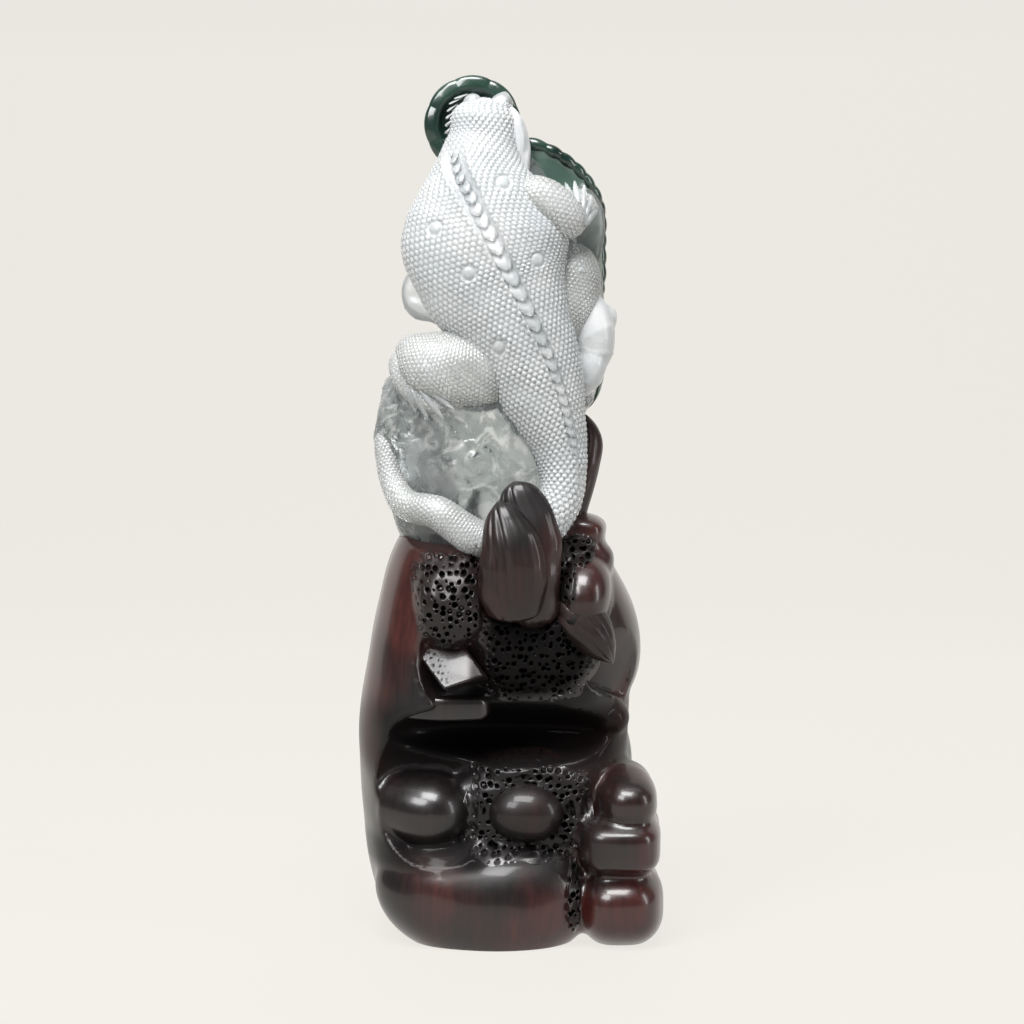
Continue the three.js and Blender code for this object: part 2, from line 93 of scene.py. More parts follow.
# A tube along a route. Ring i and side j lie at centre + side * width * sin(angle) + out * depth
# * cos(angle), with the sine and cosine squared off by power. Rings are evenly spaced over the
# length of the surface, and a front below 1 crowds the sides towards the viewer. relief moves each
# point along the normal by a height worked out from its place, its length along the tube and its
# distance round it from the line at zeroAngle, and marks it for the looks.
def tube(rows, rings, sides, rounding=(0.2, 0.3), power=2.0, front=1.0, zeroAngle=None, relief=None):
    fine = np.linspace(0, 1, 3000)
    centre, along, side, out, wide, deep = sectionsAt(rows, fine, rounding)
    steps = np.sqrt((np.diff(centre, axis=0) ** 2).sum(1) + np.diff(np.maximum(wide, deep)) ** 2)
    length = np.concatenate([[0], np.cumsum(steps)])
    wanted = np.linspace(0, length[-1], rings + 2)[1:-1]
    t = np.interp(wanted, length, fine)
    centre, along, side, out, wide, deep = sectionsAt(rows, t, rounding)
    even = np.linspace(-1, 1, sides + 1)
    angle = math.pi * (even * (front + (1 - front) * even**2))
    outward = wide[:, None] * squaredOff(np.sin(angle), power)
    forward = deep[:, None] * squaredOff(np.cos(angle), power)
    points = centre[:, None] + side[:, None] * outward[..., None] + out[:, None] * forward[..., None]
    steps = np.linalg.norm(np.diff(points, axis=1), axis=2)
    across = np.concatenate([np.zeros((rings, 1)), np.cumsum(steps, axis=1)], axis=1)
    zero = np.zeros(rings)
    if zeroAngle is not None:
        zero = np.interp(t, np.linspace(0, 1, len(zeroAngle)), np.radians(zeroAngle))
    across -= np.array([np.interp(z, angle, row) for z, row in zip(zero, across)])[:, None]
    length = np.broadcast_to(wanted[:, None], across.shape)
    poles = routeAt(np.asarray(rows, float)[:, :3], np.array([0.0, 1.0]))
    mask = 0
    if relief:
        marks = {"t": np.broadcast_to(t[:, None], across.shape), "length": length, "across": across,
                 "angle": np.broadcast_to(angle, across.shape)}
        height, mask = relief(points, marks)
        points = points + gridNormals(points) * height[..., None]
    uv = np.stack([across, length], axis=2)
    return closedGrid(points[:, :-1], poles, uv, np.broadcast_to(mask, across.shape))


# Normals of a grid that closes on itself across: the cross product of the steps to the
# neighbours round it and along it.
def gridNormals(points):
    ring = points[:, :-1]
    stepRound = np.roll(ring, -1, axis=1) - np.roll(ring, 1, axis=1)
    stepAlong = np.gradient(ring, axis=0)
    normal = unit(np.cross(stepRound, stepAlong))
    middle = ring.mean(axis=1, keepdims=True)
    if ((ring - middle) * normal).sum() < 0:
        normal = -normal
    return np.concatenate([normal, normal[:, :1]], axis=1)


# A closed skin over rings of points: quads between the rings and a fan of triangles at each pole.
# uv has a value at each point of the grid and one more column, and mask one at each point.
def closedGrid(points, poles, uv=None, mask=None):
    rings, sides = points.shape[:2]
    verts = np.concatenate([poles[:1], points.reshape(-1, 3), poles[1:]])
    i, j = np.meshgrid(np.arange(rings - 1), np.arange(sides), indexing="ij")
    a = 1 + i * sides + j
    b = 1 + i * sides + (j + 1) % sides
    quads = np.stack([a, b, b + sides, a + sides], axis=2).reshape(-1, 4)
    j = np.arange(sides)
    last = len(verts) - 1
    end = 1 + (rings - 1) * sides
    tris = np.concatenate([np.stack([np.zeros(sides, int), 1 + (j + 1) % sides, 1 + j], axis=1),
                           np.stack([np.full(sides, last), end + j, end + (j + 1) % sides], axis=1)])
    skin = {"verts": verts, "quads": quads, "tris": tris}
    if uv is not None:
        i, j = np.meshgrid(np.arange(rings - 1), np.arange(sides), indexing="ij")
        corner = np.stack([uv[i, j], uv[i, j + 1], uv[i + 1, j + 1], uv[i + 1, j]], axis=2).reshape(-1, 2)
        j = np.arange(sides)
        first = np.stack([(uv[0, j] + uv[0, j + 1]) / 2, uv[0, j + 1], uv[0, j]], axis=1)
        last = np.stack([(uv[-1, j] + uv[-1, j + 1]) / 2, uv[-1, j], uv[-1, j + 1]], axis=1)
        skin["uv"] = np.concatenate([corner, first.reshape(-1, 2), last.reshape(-1, 2)])
    if mask is not None:
        skin["mask"] = np.concatenate([[0], mask[:, :sides].ravel(), [0]])
    return turnedOut(skin)


# Faces the skin outwards: the sum of each triangle's signed volume must be above nought.
def turnedOut(skin):
    v = skin["verts"]
    q, t = skin["quads"], skin["tris"]
    both = np.concatenate([q[:, [0, 1, 2]], q[:, [0, 2, 3]], t]) if len(q) else t
    if np.einsum("ij,ij->", v[both[:, 0]], np.cross(v[both[:, 1]], v[both[:, 2]])) < 0:
        skin["quads"] = q[:, ::-1]
        skin["tris"] = t[:, ::-1]
        if "uv" in skin:
            n = len(q) * 4
            uv = skin["uv"]
            skin["uv"] = np.concatenate([uv[:n].reshape(-1, 4, 2)[:, ::-1].reshape(-1, 2),
                                         uv[n:].reshape(-1, 3, 2)[:, ::-1].reshape(-1, 2)])
    return skin


# An ellipsoid or squarer pebble: a tube up its own height, then turned about X, Y and Z.
def pebble(centre, half, power=2.0, tilt=(0, 0, 0), share=0.5, rings=40, sides=60):
    x, y, z = centre
    skin = tube([[x, y, z - half[2], half[0], half[1]], [x, y, z + half[2], half[0], half[1]]],
                rings, sides, (share, share), power)
    skin["verts"] = turned(skin["verts"], centre, tilt)
    return skin


# Points turned about a centre: round X, then Y, then Z, in degrees.
def turned(points, centre, tilt):
    a, b, c = np.radians(tilt)
    turnX = np.array([[1, 0, 0], [0, math.cos(a), -math.sin(a)], [0, math.sin(a), math.cos(a)]])
    turnY = np.array([[math.cos(b), 0, math.sin(b)], [0, 1, 0], [-math.sin(b), 0, math.cos(b)]])
    turnZ = np.array([[math.cos(c), -math.sin(c), 0], [math.sin(c), math.cos(c), 0], [0, 0, 1]])
    return (points - centre) @ (turnZ @ turnY @ turnX).T + centre


# Several skins in one list of points and faces.
def together(skins):
    shift, parts = 0, {"verts": [], "quads": [], "tris": [], "uv": [], "mask": []}
    quadUv, trisUv = [], []
    for skin in skins:
        parts["verts"].append(skin["verts"])
        parts["quads"].append(skin["quads"] + shift)
        parts["tris"].append(skin["tris"] + shift)
        if "uv" in skin:
            n = len(skin["quads"]) * 4
            quadUv.append(skin["uv"][:n])
            trisUv.append(skin["uv"][n:])
        if "mask" in skin:
            parts["mask"].append(skin["mask"])
        shift += len(skin["verts"])
    made = {k: np.concatenate(parts[k]) for k in ("verts", "quads", "tris")}
    if quadUv and len(quadUv) == len(skins):
        made["uv"] = np.concatenate(quadUv + trisUv)
    if parts["mask"] and len(parts["mask"]) == len(skins):
        made["mask"] = np.concatenate(parts["mask"])
    return made


# Puts a skin into a mesh object, in metres, smooth all over.
def meshObject(name, skin, lift=0.0):
    mesh = bpy.data.meshes.new(name)
    verts = (skin["verts"] + [0, 0, lift]) * mm
    quads, tris = skin["quads"], skin["tris"]
    mesh.vertices.add(len(verts))
    mesh.vertices.foreach_set("co", verts.astype(np.float32).ravel())
    corners = np.concatenate([quads.ravel(), tris.ravel()]).astype(np.int32)
    starts = np.concatenate([np.arange(len(quads)) * 4, len(quads) * 4 + np.arange(len(tris)) * 3])
    mesh.loops.add(len(corners))
    mesh.loops.foreach_set("vertex_index", corners)
    mesh.polygons.add(len(quads) + len(tris))
    mesh.polygons.foreach_set("loop_start", starts.astype(np.int32))
    mesh.update(calc_edges=True)
    mesh.polygons.foreach_set("use_smooth", np.ones(len(mesh.polygons), bool))
    if "uv" in skin:
        layer = mesh.uv_layers.new(name="scaleMap")
        layer.data.foreach_set("uv", skin["uv"].astype(np.float32).ravel())
    if "mask" in skin:
        layer = mesh.attributes.new("mark", "FLOAT", "POINT")
        layer.data.foreach_set("value", skin["mask"].astype(np.float32))
    obj = bpy.data.objects.new(name, mesh)
    bpy.context.scene.collection.objects.link(obj)
    return obj


# Waves in a few fixed directions added up, between about -1 and 1, for slow swells in a surface.
def swell(points, length, seed):
    pick = np.random.default_rng(seed)
    total = 0
    for _ in range(6):
        way = unit(pick.normal(size=3))
        phase = points @ way * (2 * math.pi / length)
        total = total + np.sin(phase * pick.uniform(0.7, 1.4) + pick.uniform(0, 6.3))
    return total / 3


# 0 below low and 1 above high, with a cubic between that starts and ends level.
def smoothStep(x, low, high):
    s = np.clip((x - low) / (high - low), 0, 1)
    return s * s * (3 - 2 * s)


rowShare = 1.45     # scale widths to two rows of scales, a little less than a true hexagon


# Round scales in rows that are offset by half a scale: the height of a dome over the nearest
# centre of the pattern, 1 at its top and 0 at its rim.
def domes(across, along, pitch):
    rowStep = pitch * rowShare

    def away(shift):
        a = across - shift * pitch
        b = along - shift * rowStep
        return (a - pitch * np.round(a / pitch)) ** 2 + 1.35 * (b - rowStep * np.round(b / rowStep)) ** 2

    nearest = np.minimum(away(0.0), away(0.5))
    return np.maximum(0, 1 - nearest / (0.25 * pitch**2)) ** 0.7


# Runs a modifier once and keeps its result as the object's mesh.
def apply(obj, kind, **settings):
    modifier = obj.modifiers.new(kind.lower(), kind)
    for key, value in settings.items():
        setattr(modifier, key, value)
    graph = bpy.context.evaluated_depsgraph_get()
    mesh = bpy.data.meshes.new_from_object(obj.evaluated_get(graph))
    obj.modifiers.remove(modifier)
    old = obj.data
    obj.data = mesh
    bpy.data.meshes.remove(old)
    return obj


# One even skin over whatever the mesh encloses, voxel millimetres to a face.
def remeshed(obj, voxel):
    return apply(obj, "REMESH", mode="VOXEL", voxel_size=voxel * mm, use_smooth_shade=True)


# Each point moved half way to the middle of its neighbours, a number of times.
def smoothed(obj, times):
    return apply(obj, "SMOOTH", factor=0.5, iterations=times)


# Skins that overlap, made one skin.
def fused(name, skins, voxel, lift=0.0):
    return remeshed(meshObject(name, together(skins), lift), voxel)


# The object less the cutter, which is used up.
def carved(obj, cutter):
    apply(obj, "BOOLEAN", operation="DIFFERENCE", solver="MANIFOLD", object=cutter)
    bpy.data.objects.remove(cutter)
    return obj


# The object and another joined, then made one even skin.
def added(obj, other, voxel):
    apply(obj, "BOOLEAN", operation="UNION", solver="MANIFOLD", object=other)
    bpy.data.objects.remove(other)
    return remeshed(obj, voxel)


# Points of a mesh, in millimetres.
def vertsOf(obj):
    co = np.empty(len(obj.data.vertices) * 3, np.float32)
    obj.data.vertices.foreach_get("co", co)
    return co.reshape(-1, 3).astype(float) / mm


# Unit normals at the points of a mesh.
def normalsOf(obj):
    no = np.empty(len(obj.data.vertices) * 3, np.float32)
    obj.data.vertex_normals.foreach_get("vector", no)
    return no.reshape(-1, 3).astype(float)


# Puts the points of a mesh at new places, given in millimetres.
def moveVerts(obj, points):
    obj.data.vertices.foreach_set("co", (points * mm).astype(np.float32).ravel())
    obj.data.update()


# Writes the attribute that the looks read: scaly skin, or on the wood painted shade in pits and recesses and
# a darker tone.
def setMark(obj, values):
    layer = obj.data.attributes.get("mark") or obj.data.attributes.new("mark", "FLOAT", "POINT")
    layer.data.foreach_set("value", values.astype(np.float32))


# Finishes a piece: its look in its one material slot, its body, and the solid it stands for hidden.
def finish(obj, look, node):
    obj.data.materials.clear()
    obj.data.materials.append(look)
    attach(obj, "root")
    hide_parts(node)
    pieces[obj.name] = obj
    print("piece", obj.name, "faces", len(obj.data.polygons))
    return obj


# Pieces of the two solids.
def finishStone(obj, look):
    return finish(obj, look, "quartz_carving")


def finishWood(obj, look):
    return finish(obj, look, "wooden_stand")


lizard = {
    # route from the head to the tip of the tail: X, Y, height, half width, half depth
    "trunk": [[-10.6, -8, 169.6, 12.2, 9.6], [-11, -9, 155.5, 12.4, 11], [-12, -12, 144.4, 16.5, 13],
              [-11.4, -15, 132.3, 24.6, 15], [-10, -17, 117.7, 30, 17], [-6.6, -18, 103, 26.8, 17],
              [-0.7, -19, 88.4, 21.5, 16], [5.5, -19, 73.7, 18.5, 14.5], [11, -19, 59, 15.5, 13],
              [16.5, -19, 44.4, 11, 10.5], [18.7, -20, 32.3, 8.4, 8.4], [16.9, -22, 21.3, 7.4, 7.4],
              [10.3, -24, 12.4, 7, 7], [0, -25, 8.2, 6.8, 6.8], [-12.5, -26, 8.6, 6.6, 6.6],
              [-26.4, -25, 17.6, 6, 6], [-38.6, -20, 21, 5.2, 5.2], [-45, -14, 32, 4.2, 4.4],
              [-48.2, -8, 52, 3, 3.2]],
    # where the crest runs at each row, in degrees from the side that faces the viewer
    "crestAngles": [-80, -64, -34, -10, 4, 13, 20, 25, 29, 31, 35, 40, 40, 40, 40, 40, 40, 40, 40],
    "trunkRows": 14,        # rows of the route in the trunk, and the rest are the tail
    "scalePitch": 2.35,
    "scaleHeight": 0.75,
    "channel": 5.2,         # half width of the smooth channel that the crest lies in
    "finePitch": 1.75,      # scales of the limbs and the tail
    "bossPlaces": [[-15.6, 105], [9.4, 110], [-4.8, 78.5], [-28, 121.5], [-3, 138]],   # X and height
    "bossRadius": 2.0,
}


# Relief of the back: rows of round scales, a smooth channel with a raised edge for the crest, and a
# few round bosses with a groove round them, set by their place as seen from the viewer.
def backRelief(points, marks):
    across, length, t = marks["across"], marks["length"], marks["t"]
    narrow = lizard["channel"] * (1 - 0.55 * smoothStep(t, 0.1, 0.62))
    lies = (1 - smoothStep(t, 0.66, 0.74)) * smoothStep(t, 0.1, 0.2)     # the stretch that has a channel
    edge = np.exp(-((np.abs(across) - narrow) / (0.3 * narrow)) ** 2)
    floor = np.exp(-(across / narrow) ** 4)
    scaly = np.maximum(smoothStep(np.abs(across) / narrow, 0.75, 1.0), 1 - lies)
    height = lies * (0.9 * edge - 1.0 * floor) + 0.5 * swell(points, 34, 3)
    viewerSide = points[..., 1] < np.interp(t, [0, 1], [-12, -20])
    for x, z in lizard["bossPlaces"]:
        away = np.hypot(points[..., 0] - x, points[..., 2] - z) / lizard["bossRadius"]
        dome = np.where(viewerSide, np.exp(-away**4) * 0.5 - 0.3 * np.exp(-((away - 1.3) / 0.22) ** 2), 0)
        height = height + dome
        scaly = np.where(viewerSide, scaly * smoothStep(away, 1.3, 1.6), scaly)
    strength = 0.85 + 0.25 * swell(points, 11, 8)
    scales = domes(across, length, lizard["scalePitch"])
    height = height + lizard["scaleHeight"] * scaly * strength * scales
    return height, scaly


# Relief of an arm, a leg or the tail: the same scales a little smaller, over slow swells.
def limbRelief(pitch, height):
    def relief(points, marks):
        scales = domes(marks["across"], marks["length"], pitch)
        lift = height * (0.8 + 0.3 * swell(points, 9, 5)) * scales
        return lift + 0.35 * swell(points, 16, 4), 1
    return relief


# The trunk and the tail are two tubes along one route, which share two of its rows.
def makeLizard(quartz, fineScaled):
    rows = np.array(lizard["trunk"], float)
    cut = lizard["trunkRows"]
    skin = tube(rows[:cut], 380, 216, (0.045, 0.03), front=0.62,
                zeroAngle=lizard["crestAngles"][:cut], relief=backRelief)
    finishStone(meshObject("lizard_back", skin, seatHeight), quartz)
    skin = tube(rows[cut - 2:], 310, 84, (0.05, 0.1), relief=limbRelief(lizard["finePitch"], 0.5))
    finishStone(meshObject("lizard_tail", skin, seatHeight), fineScaled)


# rows as in the trunk's route, mesh size, share of the length that rounds each end, scale height
limbs = {
    "left_thigh": {"rows": [[3, -17, 70, 12, 10], [-14, -21.5, 69, 13.4, 10], [-28.5, -22, 72, 12.8, 9.5],
                            [-41.5, -18, 79.5, 9.3, 8.5]],
                   "rings": 184, "sides": 160, "ends": (0.3, 0.32), "height": 0.56},
    "left_shin": {"rows": [[-42, -18, 77, 5.4, 5], [-38, -21.5, 65, 4.6, 4.2], [-31, -24.5, 58.5, 3.8, 3.6],
                           [-24, -25.5, 56.5, 2.6, 3]],
                  "rings": 80, "sides": 64, "ends": (0.2, 0.3), "height": 0.4},
    "right_arm": {"rows": [[1, -17, 135.5, 8.4, 9], [12, -21, 132, 7.6, 7.2], [20, -20, 125.5, 7.2, 7],
                           [25, -16, 121.5, 6.4, 6.4]],
                  "rings": 124, "sides": 130, "ends": (0.3, 0.35), "height": 0.5},
    "right_hand": {"rows": [[22, -17, 124, 4.6, 4.2], [25.5, -14, 129, 5, 4.2], [27.5, -10, 134, 4.2, 3.4]],
                   "rings": 64, "sides": 72, "ends": (0.4, 0.4), "height": 0.4},
    "left_arm": {"rows": [[-20, -9, 141, 6, 6], [-29.5, -9, 129, 5.4, 5.8], [-33.8, -5, 116, 4.8, 5.4],
                          [-34, -2, 107, 3.6, 4]],
                 "rings": 120, "sides": 82, "ends": (0.3, 0.3), "height": 0.5},
    "right_thigh": {"rows": [[13, -13, 74, 7, 7], [17.5, -12.5, 86, 8.6, 8.6], [21.2, -11, 97, 10.2, 9.2],
                             [23, -9, 108, 9.8, 8.8], [24.4, -5, 116, 7.4, 7.4]],
                    "rings": 160, "sides": 140, "ends": (0.3, 0.35), "height": 0.52},
}

# root of the hand or foot, how far the joints lift off the stone, half width, and the tips
digits = {
    "right_fingers": {"root": [25.5, -22, 122], "lift": 3.0, "width": 1.2,
                      "tips": [[19.4, -14.6, 139], [22.8, -13.6, 139.6], [26.4, -12.6, 138],
                               [29.4, -12, 134.4], [31.2, -12, 129.4]]},
    "left_toes": {"root": [-40.5, -22, 71], "lift": 1.8, "width": 1.2,
                  "tips": [[-35, -24.5, 54.5], [-30.5, -27, 52.5], [-25, -28.4, 53], [-20.5, -28.4, 55.5]]},
}

# Round bosses on the thighs: middle and radius.
limbBosses = [[[-18.7, -30.3, 68.1], 2.3], [[25.2, -17, 106], 2.2], [[-31, -30, 72], 1.6]]


# Each limb is one tube with scales, and each finger or toe a thin tube that arches to its tip.
def makeLimbs(quartz, scaled):
    bosses = [pebble(middle, [radius] * 3, rings=22, sides=32) for middle, radius in limbBosses]
    finishStone(meshObject("limb_bosses", together(bosses), seatHeight), quartz)
    for name, limb in limbs.items():
        skin = tube(limb["rows"], limb["rings"], limb["sides"], limb["ends"],
                    relief=limbRelief(lizard["finePitch"], limb["height"]))
        finishStone(meshObject(name, skin, seatHeight), scaled)
    for name, hand in digits.items():
        root = np.array(hand["root"], float)
        wide = hand["width"] * np.array([1.2, 1, 1.05, 0.5])
        fingers = []
        for tip in np.array(hand["tips"], float):
            bend = (root + tip) / 2 - [0, hand["lift"], 0]
            knuckle = root * 0.3 + tip * 0.7 - [0, hand["lift"] * 0.7, 0]
            route = np.column_stack([np.stack([root, bend, knuckle, tip]), wide, wide])
            fingers.append(tube(route, 26, 18, (0.15, 0.25), relief=knuckleRelief))
        finishStone(meshObject(name, together(fingers), seatHeight), quartz)


# Rings round a finger, like the folds of skin at its joints.
def knuckleRelief(points, marks):
    return 0.12 * np.cos(marks["length"] * 2 * math.pi / 1.9), 0


head = {
    "snout": [[-9, -8, 156, 7, 7], [-6, -8, 163, 6, 6], [-3.4, -7.6, 168.6, 4, 4.4],
              [-2.2, -7.2, 172.4, 2.2, 2.6]],
    "jaw": [[0.4, -8, 138, 5.2, 5], [0.9, -8.6, 145, 5.6, 4.6], [0.4, -8.8, 152.5, 6.2, 4.6],
            [-1, -8.6, 161, 5.4, 4.4], [-2.8, -8, 168, 3.4, 3]],
    "eyes": [[[-14.4, -9.4, 167.8], 3.7], [[-13, 0, 167.4], 3.6]],      # middle and radius
}


# The bare skin of the snout and throat, with a fold or two along it.
def softFolds(points, marks):
    folds = 0.25 * np.sin(marks["angle"] * 5 + marks["t"] * 6 + swell(points, 14, 7))
    return folds * np.sin(math.pi * marks["t"]) + 0.25 * swell(points, 9, 2), 0


# A low ring round the eyeball, like the edge of a lid.
def lidRelief(points, marks):
    return 0.45 * np.exp(-((marks["t"] - 0.45) / 0.06) ** 2), 0


# Snout and jaw are tubes with soft folds, and each eye a ball with a lid's edge round it.
def makeHead(bright, clearer):
    for name, look in (("snout", clearer), ("jaw", bright)):
        skin = tube(head[name], 66, 60, (0.2, 0.3), relief=softFolds)
        finishStone(meshObject(name, skin, seatHeight), look)
    eyes = []
    for (x, y, z), radius in head["eyes"]:
        route = [[x, y, z - radius, radius, radius], [x, y, z + radius, radius, radius]]
        eyes.append(tube(route, 26, 32, (0.5, 0.5), relief=lidRelief))
    finishStone(meshObject("eyes", together(eyes), seatHeight), clearer)


crest = {
    "nape": [[-18, -10, 171], [-21, -10, 168.6], [-22.7, -10, 163.6], [-23.1, -10.6, 157],
             [-22.6, -13.4, 150]],
    "napePitch": 2.7,
    "napeTilt": 42,
    "startsAt": 0.11,               # shares of the trunk's route
    "endsAt": 0.67,
    "pitches": [4.2, 4.8, 6.2, 6.0, 4.6, 3.8, 3.2, 2.8],    # steps between scutes down the back
    "size": [0.8, 0.52, 0.25],      # length, width and height of a scute to its step
    "tilt": 14,                     # degrees that a scute stands up off the skin
    "shell": [[0, -0.1, -1, 0.5, 0.3], [0, 0, -0.2, 1, 0.5], [0, 0.15, 0.45, 0.86, 0.75],
              [0, 0.25, 0.85, 0.4, 0.75], [0, 0.25, 1, 0.1, 0.5]],
    "napeAxis": [-10.8, -8.0, 0.0],     # upright line that the teeth of the nape point away from
}


# The crest: scutes strung over the nape and down the channel of the back. Each is a keeled shell
# that swells to a blunt point and laps over the next, and they shrink towards the tail.
def makeCrest(quartz):
    rows = np.array(lizard["trunk"], float)
    t = np.linspace(crest["startsAt"], crest["endsAt"], 2000)
    centre, along, side, out, wide, deep = sectionsAt(rows, t, (0.02, 0.02))
    angle = np.radians(np.interp(t, np.linspace(0, 1, len(rows)), lizard["crestAngles"]))
    spot = centre + side * (wide * np.sin(angle))[:, None] + out * (deep * np.cos(angle))[:, None]
    up = unit(spot - centre)
    nape = routeAt(np.vstack([crest["nape"], spot[:1]]), np.linspace(0, 1, 400))[:-1]
    up = np.vstack([unit((nape - crest["napeAxis"]) * [1, 1, 0]), up])
    spot = np.vstack([nape, spot])
    length = np.concatenate([[0], np.cumsum(np.linalg.norm(np.diff(spot, axis=0), axis=1))])
    napeEnd = length[len(nape)]
    places, steps, at = [], [], 1.0
    while at < length[-1]:
        share = (at - napeEnd) / (length[-1] - napeEnd)
        step = crest["napePitch"]
        if share > 0:
            step = np.interp(share, np.linspace(0, 1, len(crest["pitches"])), crest["pitches"])
        places.append(at)
        steps.append(step)
        at += step
    foot = np.stack([np.interp(places, length, spot[:, k]) for k in range(3)], axis=1)
    lift = unit(np.stack([np.interp(places, length, up[:, k]) for k in range(3)], axis=1))
    way = unit(np.gradient(foot, axis=0))
    cross = unit(np.cross(lift, way))
    shell = tube(crest["shell"], 12, 14, (0.3, 0.12), 1.55)
    v = shell["verts"]
    scutes = []
    for k, step in enumerate(steps):
        tilt = math.radians(crest["napeTilt"] if places[k] < napeEnd else crest["tilt"])
        long, wide, high = np.array(crest["size"]) * step
        a = way[k] * math.cos(tilt) + lift[k] * math.sin(tilt)
        b = lift[k] * math.cos(tilt) - way[k] * math.sin(tilt)
        placed = (foot[k] - lift[k] * 0.08 * step + v[:, 2:] * long * a
                  + v[:, :1] * wide * cross[k] + v[:, 1:2] * high * b)
        scutes.append(turnedOut({"verts": placed, "quads": shell["quads"], "tris": shell["tris"]}))
    finishStone(meshObject("crest", together(scutes), seatHeight), quartz)


rock = {
    "rows": [[-12.2, 4, 0, 26.5, 21], [-12.2, 4, 7, 29, 24], [-13, 4, 20, 33, 27], [-13, 4, 35, 36.5, 29],
             [-13, 4, 49, 38, 30], [-13, 4, 62, 35.5, 29], [-11, 4, 75, 29, 25]],
    "column": [[3, 5, 48, 26, 24], [5, 5, 66, 27, 24], [7, 6, 82, 27.5, 24], [7.5, 6, 95, 27, 24],
               [6, 6, 110, 26, 22], [4, 5, 125, 23, 19], [-1, 3, 140, 15, 14], [-7, 4, 155, 9, 9],
               [-10, 6, 166, 7, 6]],
    "power": 2.3,
    # lobes left rough and frosted: centre, half size, squareness, tilt
    "lobes": {
        "frosted_spur": [[[29, -7, 84], [9.4, 10, 15], 2.5, [0, -8, 0]],
                         [[34, -5, 88], [5, 6, 6], 2.3, [0, 20, 0]],
                         [[22, -4, 92], [9, 9, 16], 2.4, [0, 0, 0]],
                         [[27.5, -8, 71], [7.4, 9, 12], 2.4, [0, 20, 0]]],
        "frosted_lobe": [[[-31.5, -2, 99], [9.6, 5, 11.4], 2.8, [0, 14, 0]],
                         [[-28.5, -3, 92], [12.4, 6, 4.6], 2.4, [0, 18, 0]]],
        "frosted_veil": [[[24, -4.5, 118], [10, 4, 20], 2.3, [0, 8, 0]],
                         [[17, -5, 128], [7, 4, 9], 2.2, [0, 0, 0]]],
    },
    "bosses": [[[-8, -12, 36], [23, 14, 20]], [[-44, -8, 46], [6.6, 9, 18]], [[-16, 26, 50], [18, 12, 26]]],
    "hollows": [[[-38, -33, 42], [9, 12, 14]], [[-22, -35, 60], [15, 9, 9]], [[14, 36, 52], [17, 12, 20]]],
    # flat breaks: a point on each and the way it faces
    "facets": [[[-32, -21, 16], [-0.75, -0.6, -0.25]], [[-42, 14, 40], [-0.85, 0.5, -0.05]],
               [[24, 18, 70], [0.8, 0.6, 0]], [[0, 31, 40], [0.1, 1, -0.15]],
               [[-12, 26, 110], [-0.6, 0.8, 0.1]]],
    "knob": [-14, -25, 38.5],
    "voxel": 1.22,
    "lobeVoxel": 0.8,
    "plainFoot": [10, 14],      # heights between which the relief fades in, above the socket
}


# Everything beyond a plane, as a closed box with one face on it.
def beyond(point, way, reach=180.0):
    point = np.array(point, float)
    way = unit(np.array(way, float))
    side = unit(np.cross(way, [0.3, 0.2, 1]))
    up = np.cross(way, side)
    corners = np.array([point + side * a * reach + up * b * reach + way * c * reach
                        for c in (0, 1) for a, b in ((-1, -1), (1, -1), (1, 1), (-1, 1))])
    quads = np.array([[3, 2, 1, 0], [4, 5, 6, 7], [0, 1, 5, 4], [1, 2, 6, 5], [2, 3, 7, 6], [3, 0, 4, 7]])
    return turnedOut({"verts": corners, "quads": quads, "tris": np.zeros((0, 3), int)})


# The rock: swept bodies and pebbles in one skin, cut by hollows and flat breaks, then moved along
# its normals by the relief. The rough lobes are fused pebbles with half that relief.
def makeRock(clear, looks):
    skins = [tube(rock["rows"], 120, 120, (0.03, 0.2), rock["power"]),
             tube(rock["column"], 120, 120, (0.1, 0.06), rock["power"])]
    skins += [pebble(*row) for row in rock["bosses"]]
    body = fused("rock", skins, rock["voxel"], seatHeight)
    carved(body, fused("hollows", [pebble(*row) for row in rock["hollows"]], coarseVoxel, seatHeight))
    for point, way in rock["facets"]:
        carved(body, meshObject("facet", beyond(point, way), seatHeight))
    smoothed(remeshed(body, rock["voxel"]), 6)
    points, normals = vertsOf(body), normalsOf(body)
    local = points - [0, 0, seatHeight]
    height = rockRelief(local) * smoothStep(local[:, 2], *rock["plainFoot"])
    moveVerts(body, points + normals * height[:, None])
    finishStone(body, clear)
    for name, rows in rock["lobes"].items():
        lobe = smoothed(fused(name, [pebble(*row) for row in rows], rock["lobeVoxel"], seatHeight), 6)
        points, normals = vertsOf(lobe), normalsOf(lobe)
        moveVerts(lobe, points + normals * (0.5 * rockRelief(points - [0, 0, seatHeight]))[:, None])
        finishStone(lobe, looks[name])


# Sharp folds across a direction: 1 less the size of a sine whose phase is bent.
def foldsAcross(p, way, rate, bend):
    return 1 - np.abs(np.sin(p @ unit(np.array(way)) * rate + bend))


# Shell-shaped fractures: folded waves that bend slowly, and rings round the knob that the carver
# left on the front of the rock.
def rockRelief(p):
    folded = foldsAcross(p, [0.7, 0.2, 0.9], 0.16, 1.3 * swell(p, 40, 21))
    cross = foldsAcross(p, [-0.5, 0.3, 0.8], 0.21, 1.1 * swell(p, 32, 22))
    small = foldsAcross(p, [0.6, -0.4, 0.7], 0.42, 1.5 * swell(p, 15, 26))
    away = np.linalg.norm(p - rock["knob"], axis=1)
    rings = (0.5 * np.cos(away * 1.15) + 1.6 * np.exp(-(away / 3.2) ** 2)) * np.exp(-(away / 9.5) ** 2)
    front = smoothStep(-p[:, 1], 8, 16)
    folds = 0.9 * (folded**3 - 0.3) + 0.45 * (cross**4 - 0.2) + 0.3 * small**4
    return folds + 1.5 * front * rings + 0.7 * swell(p, 19, 23)


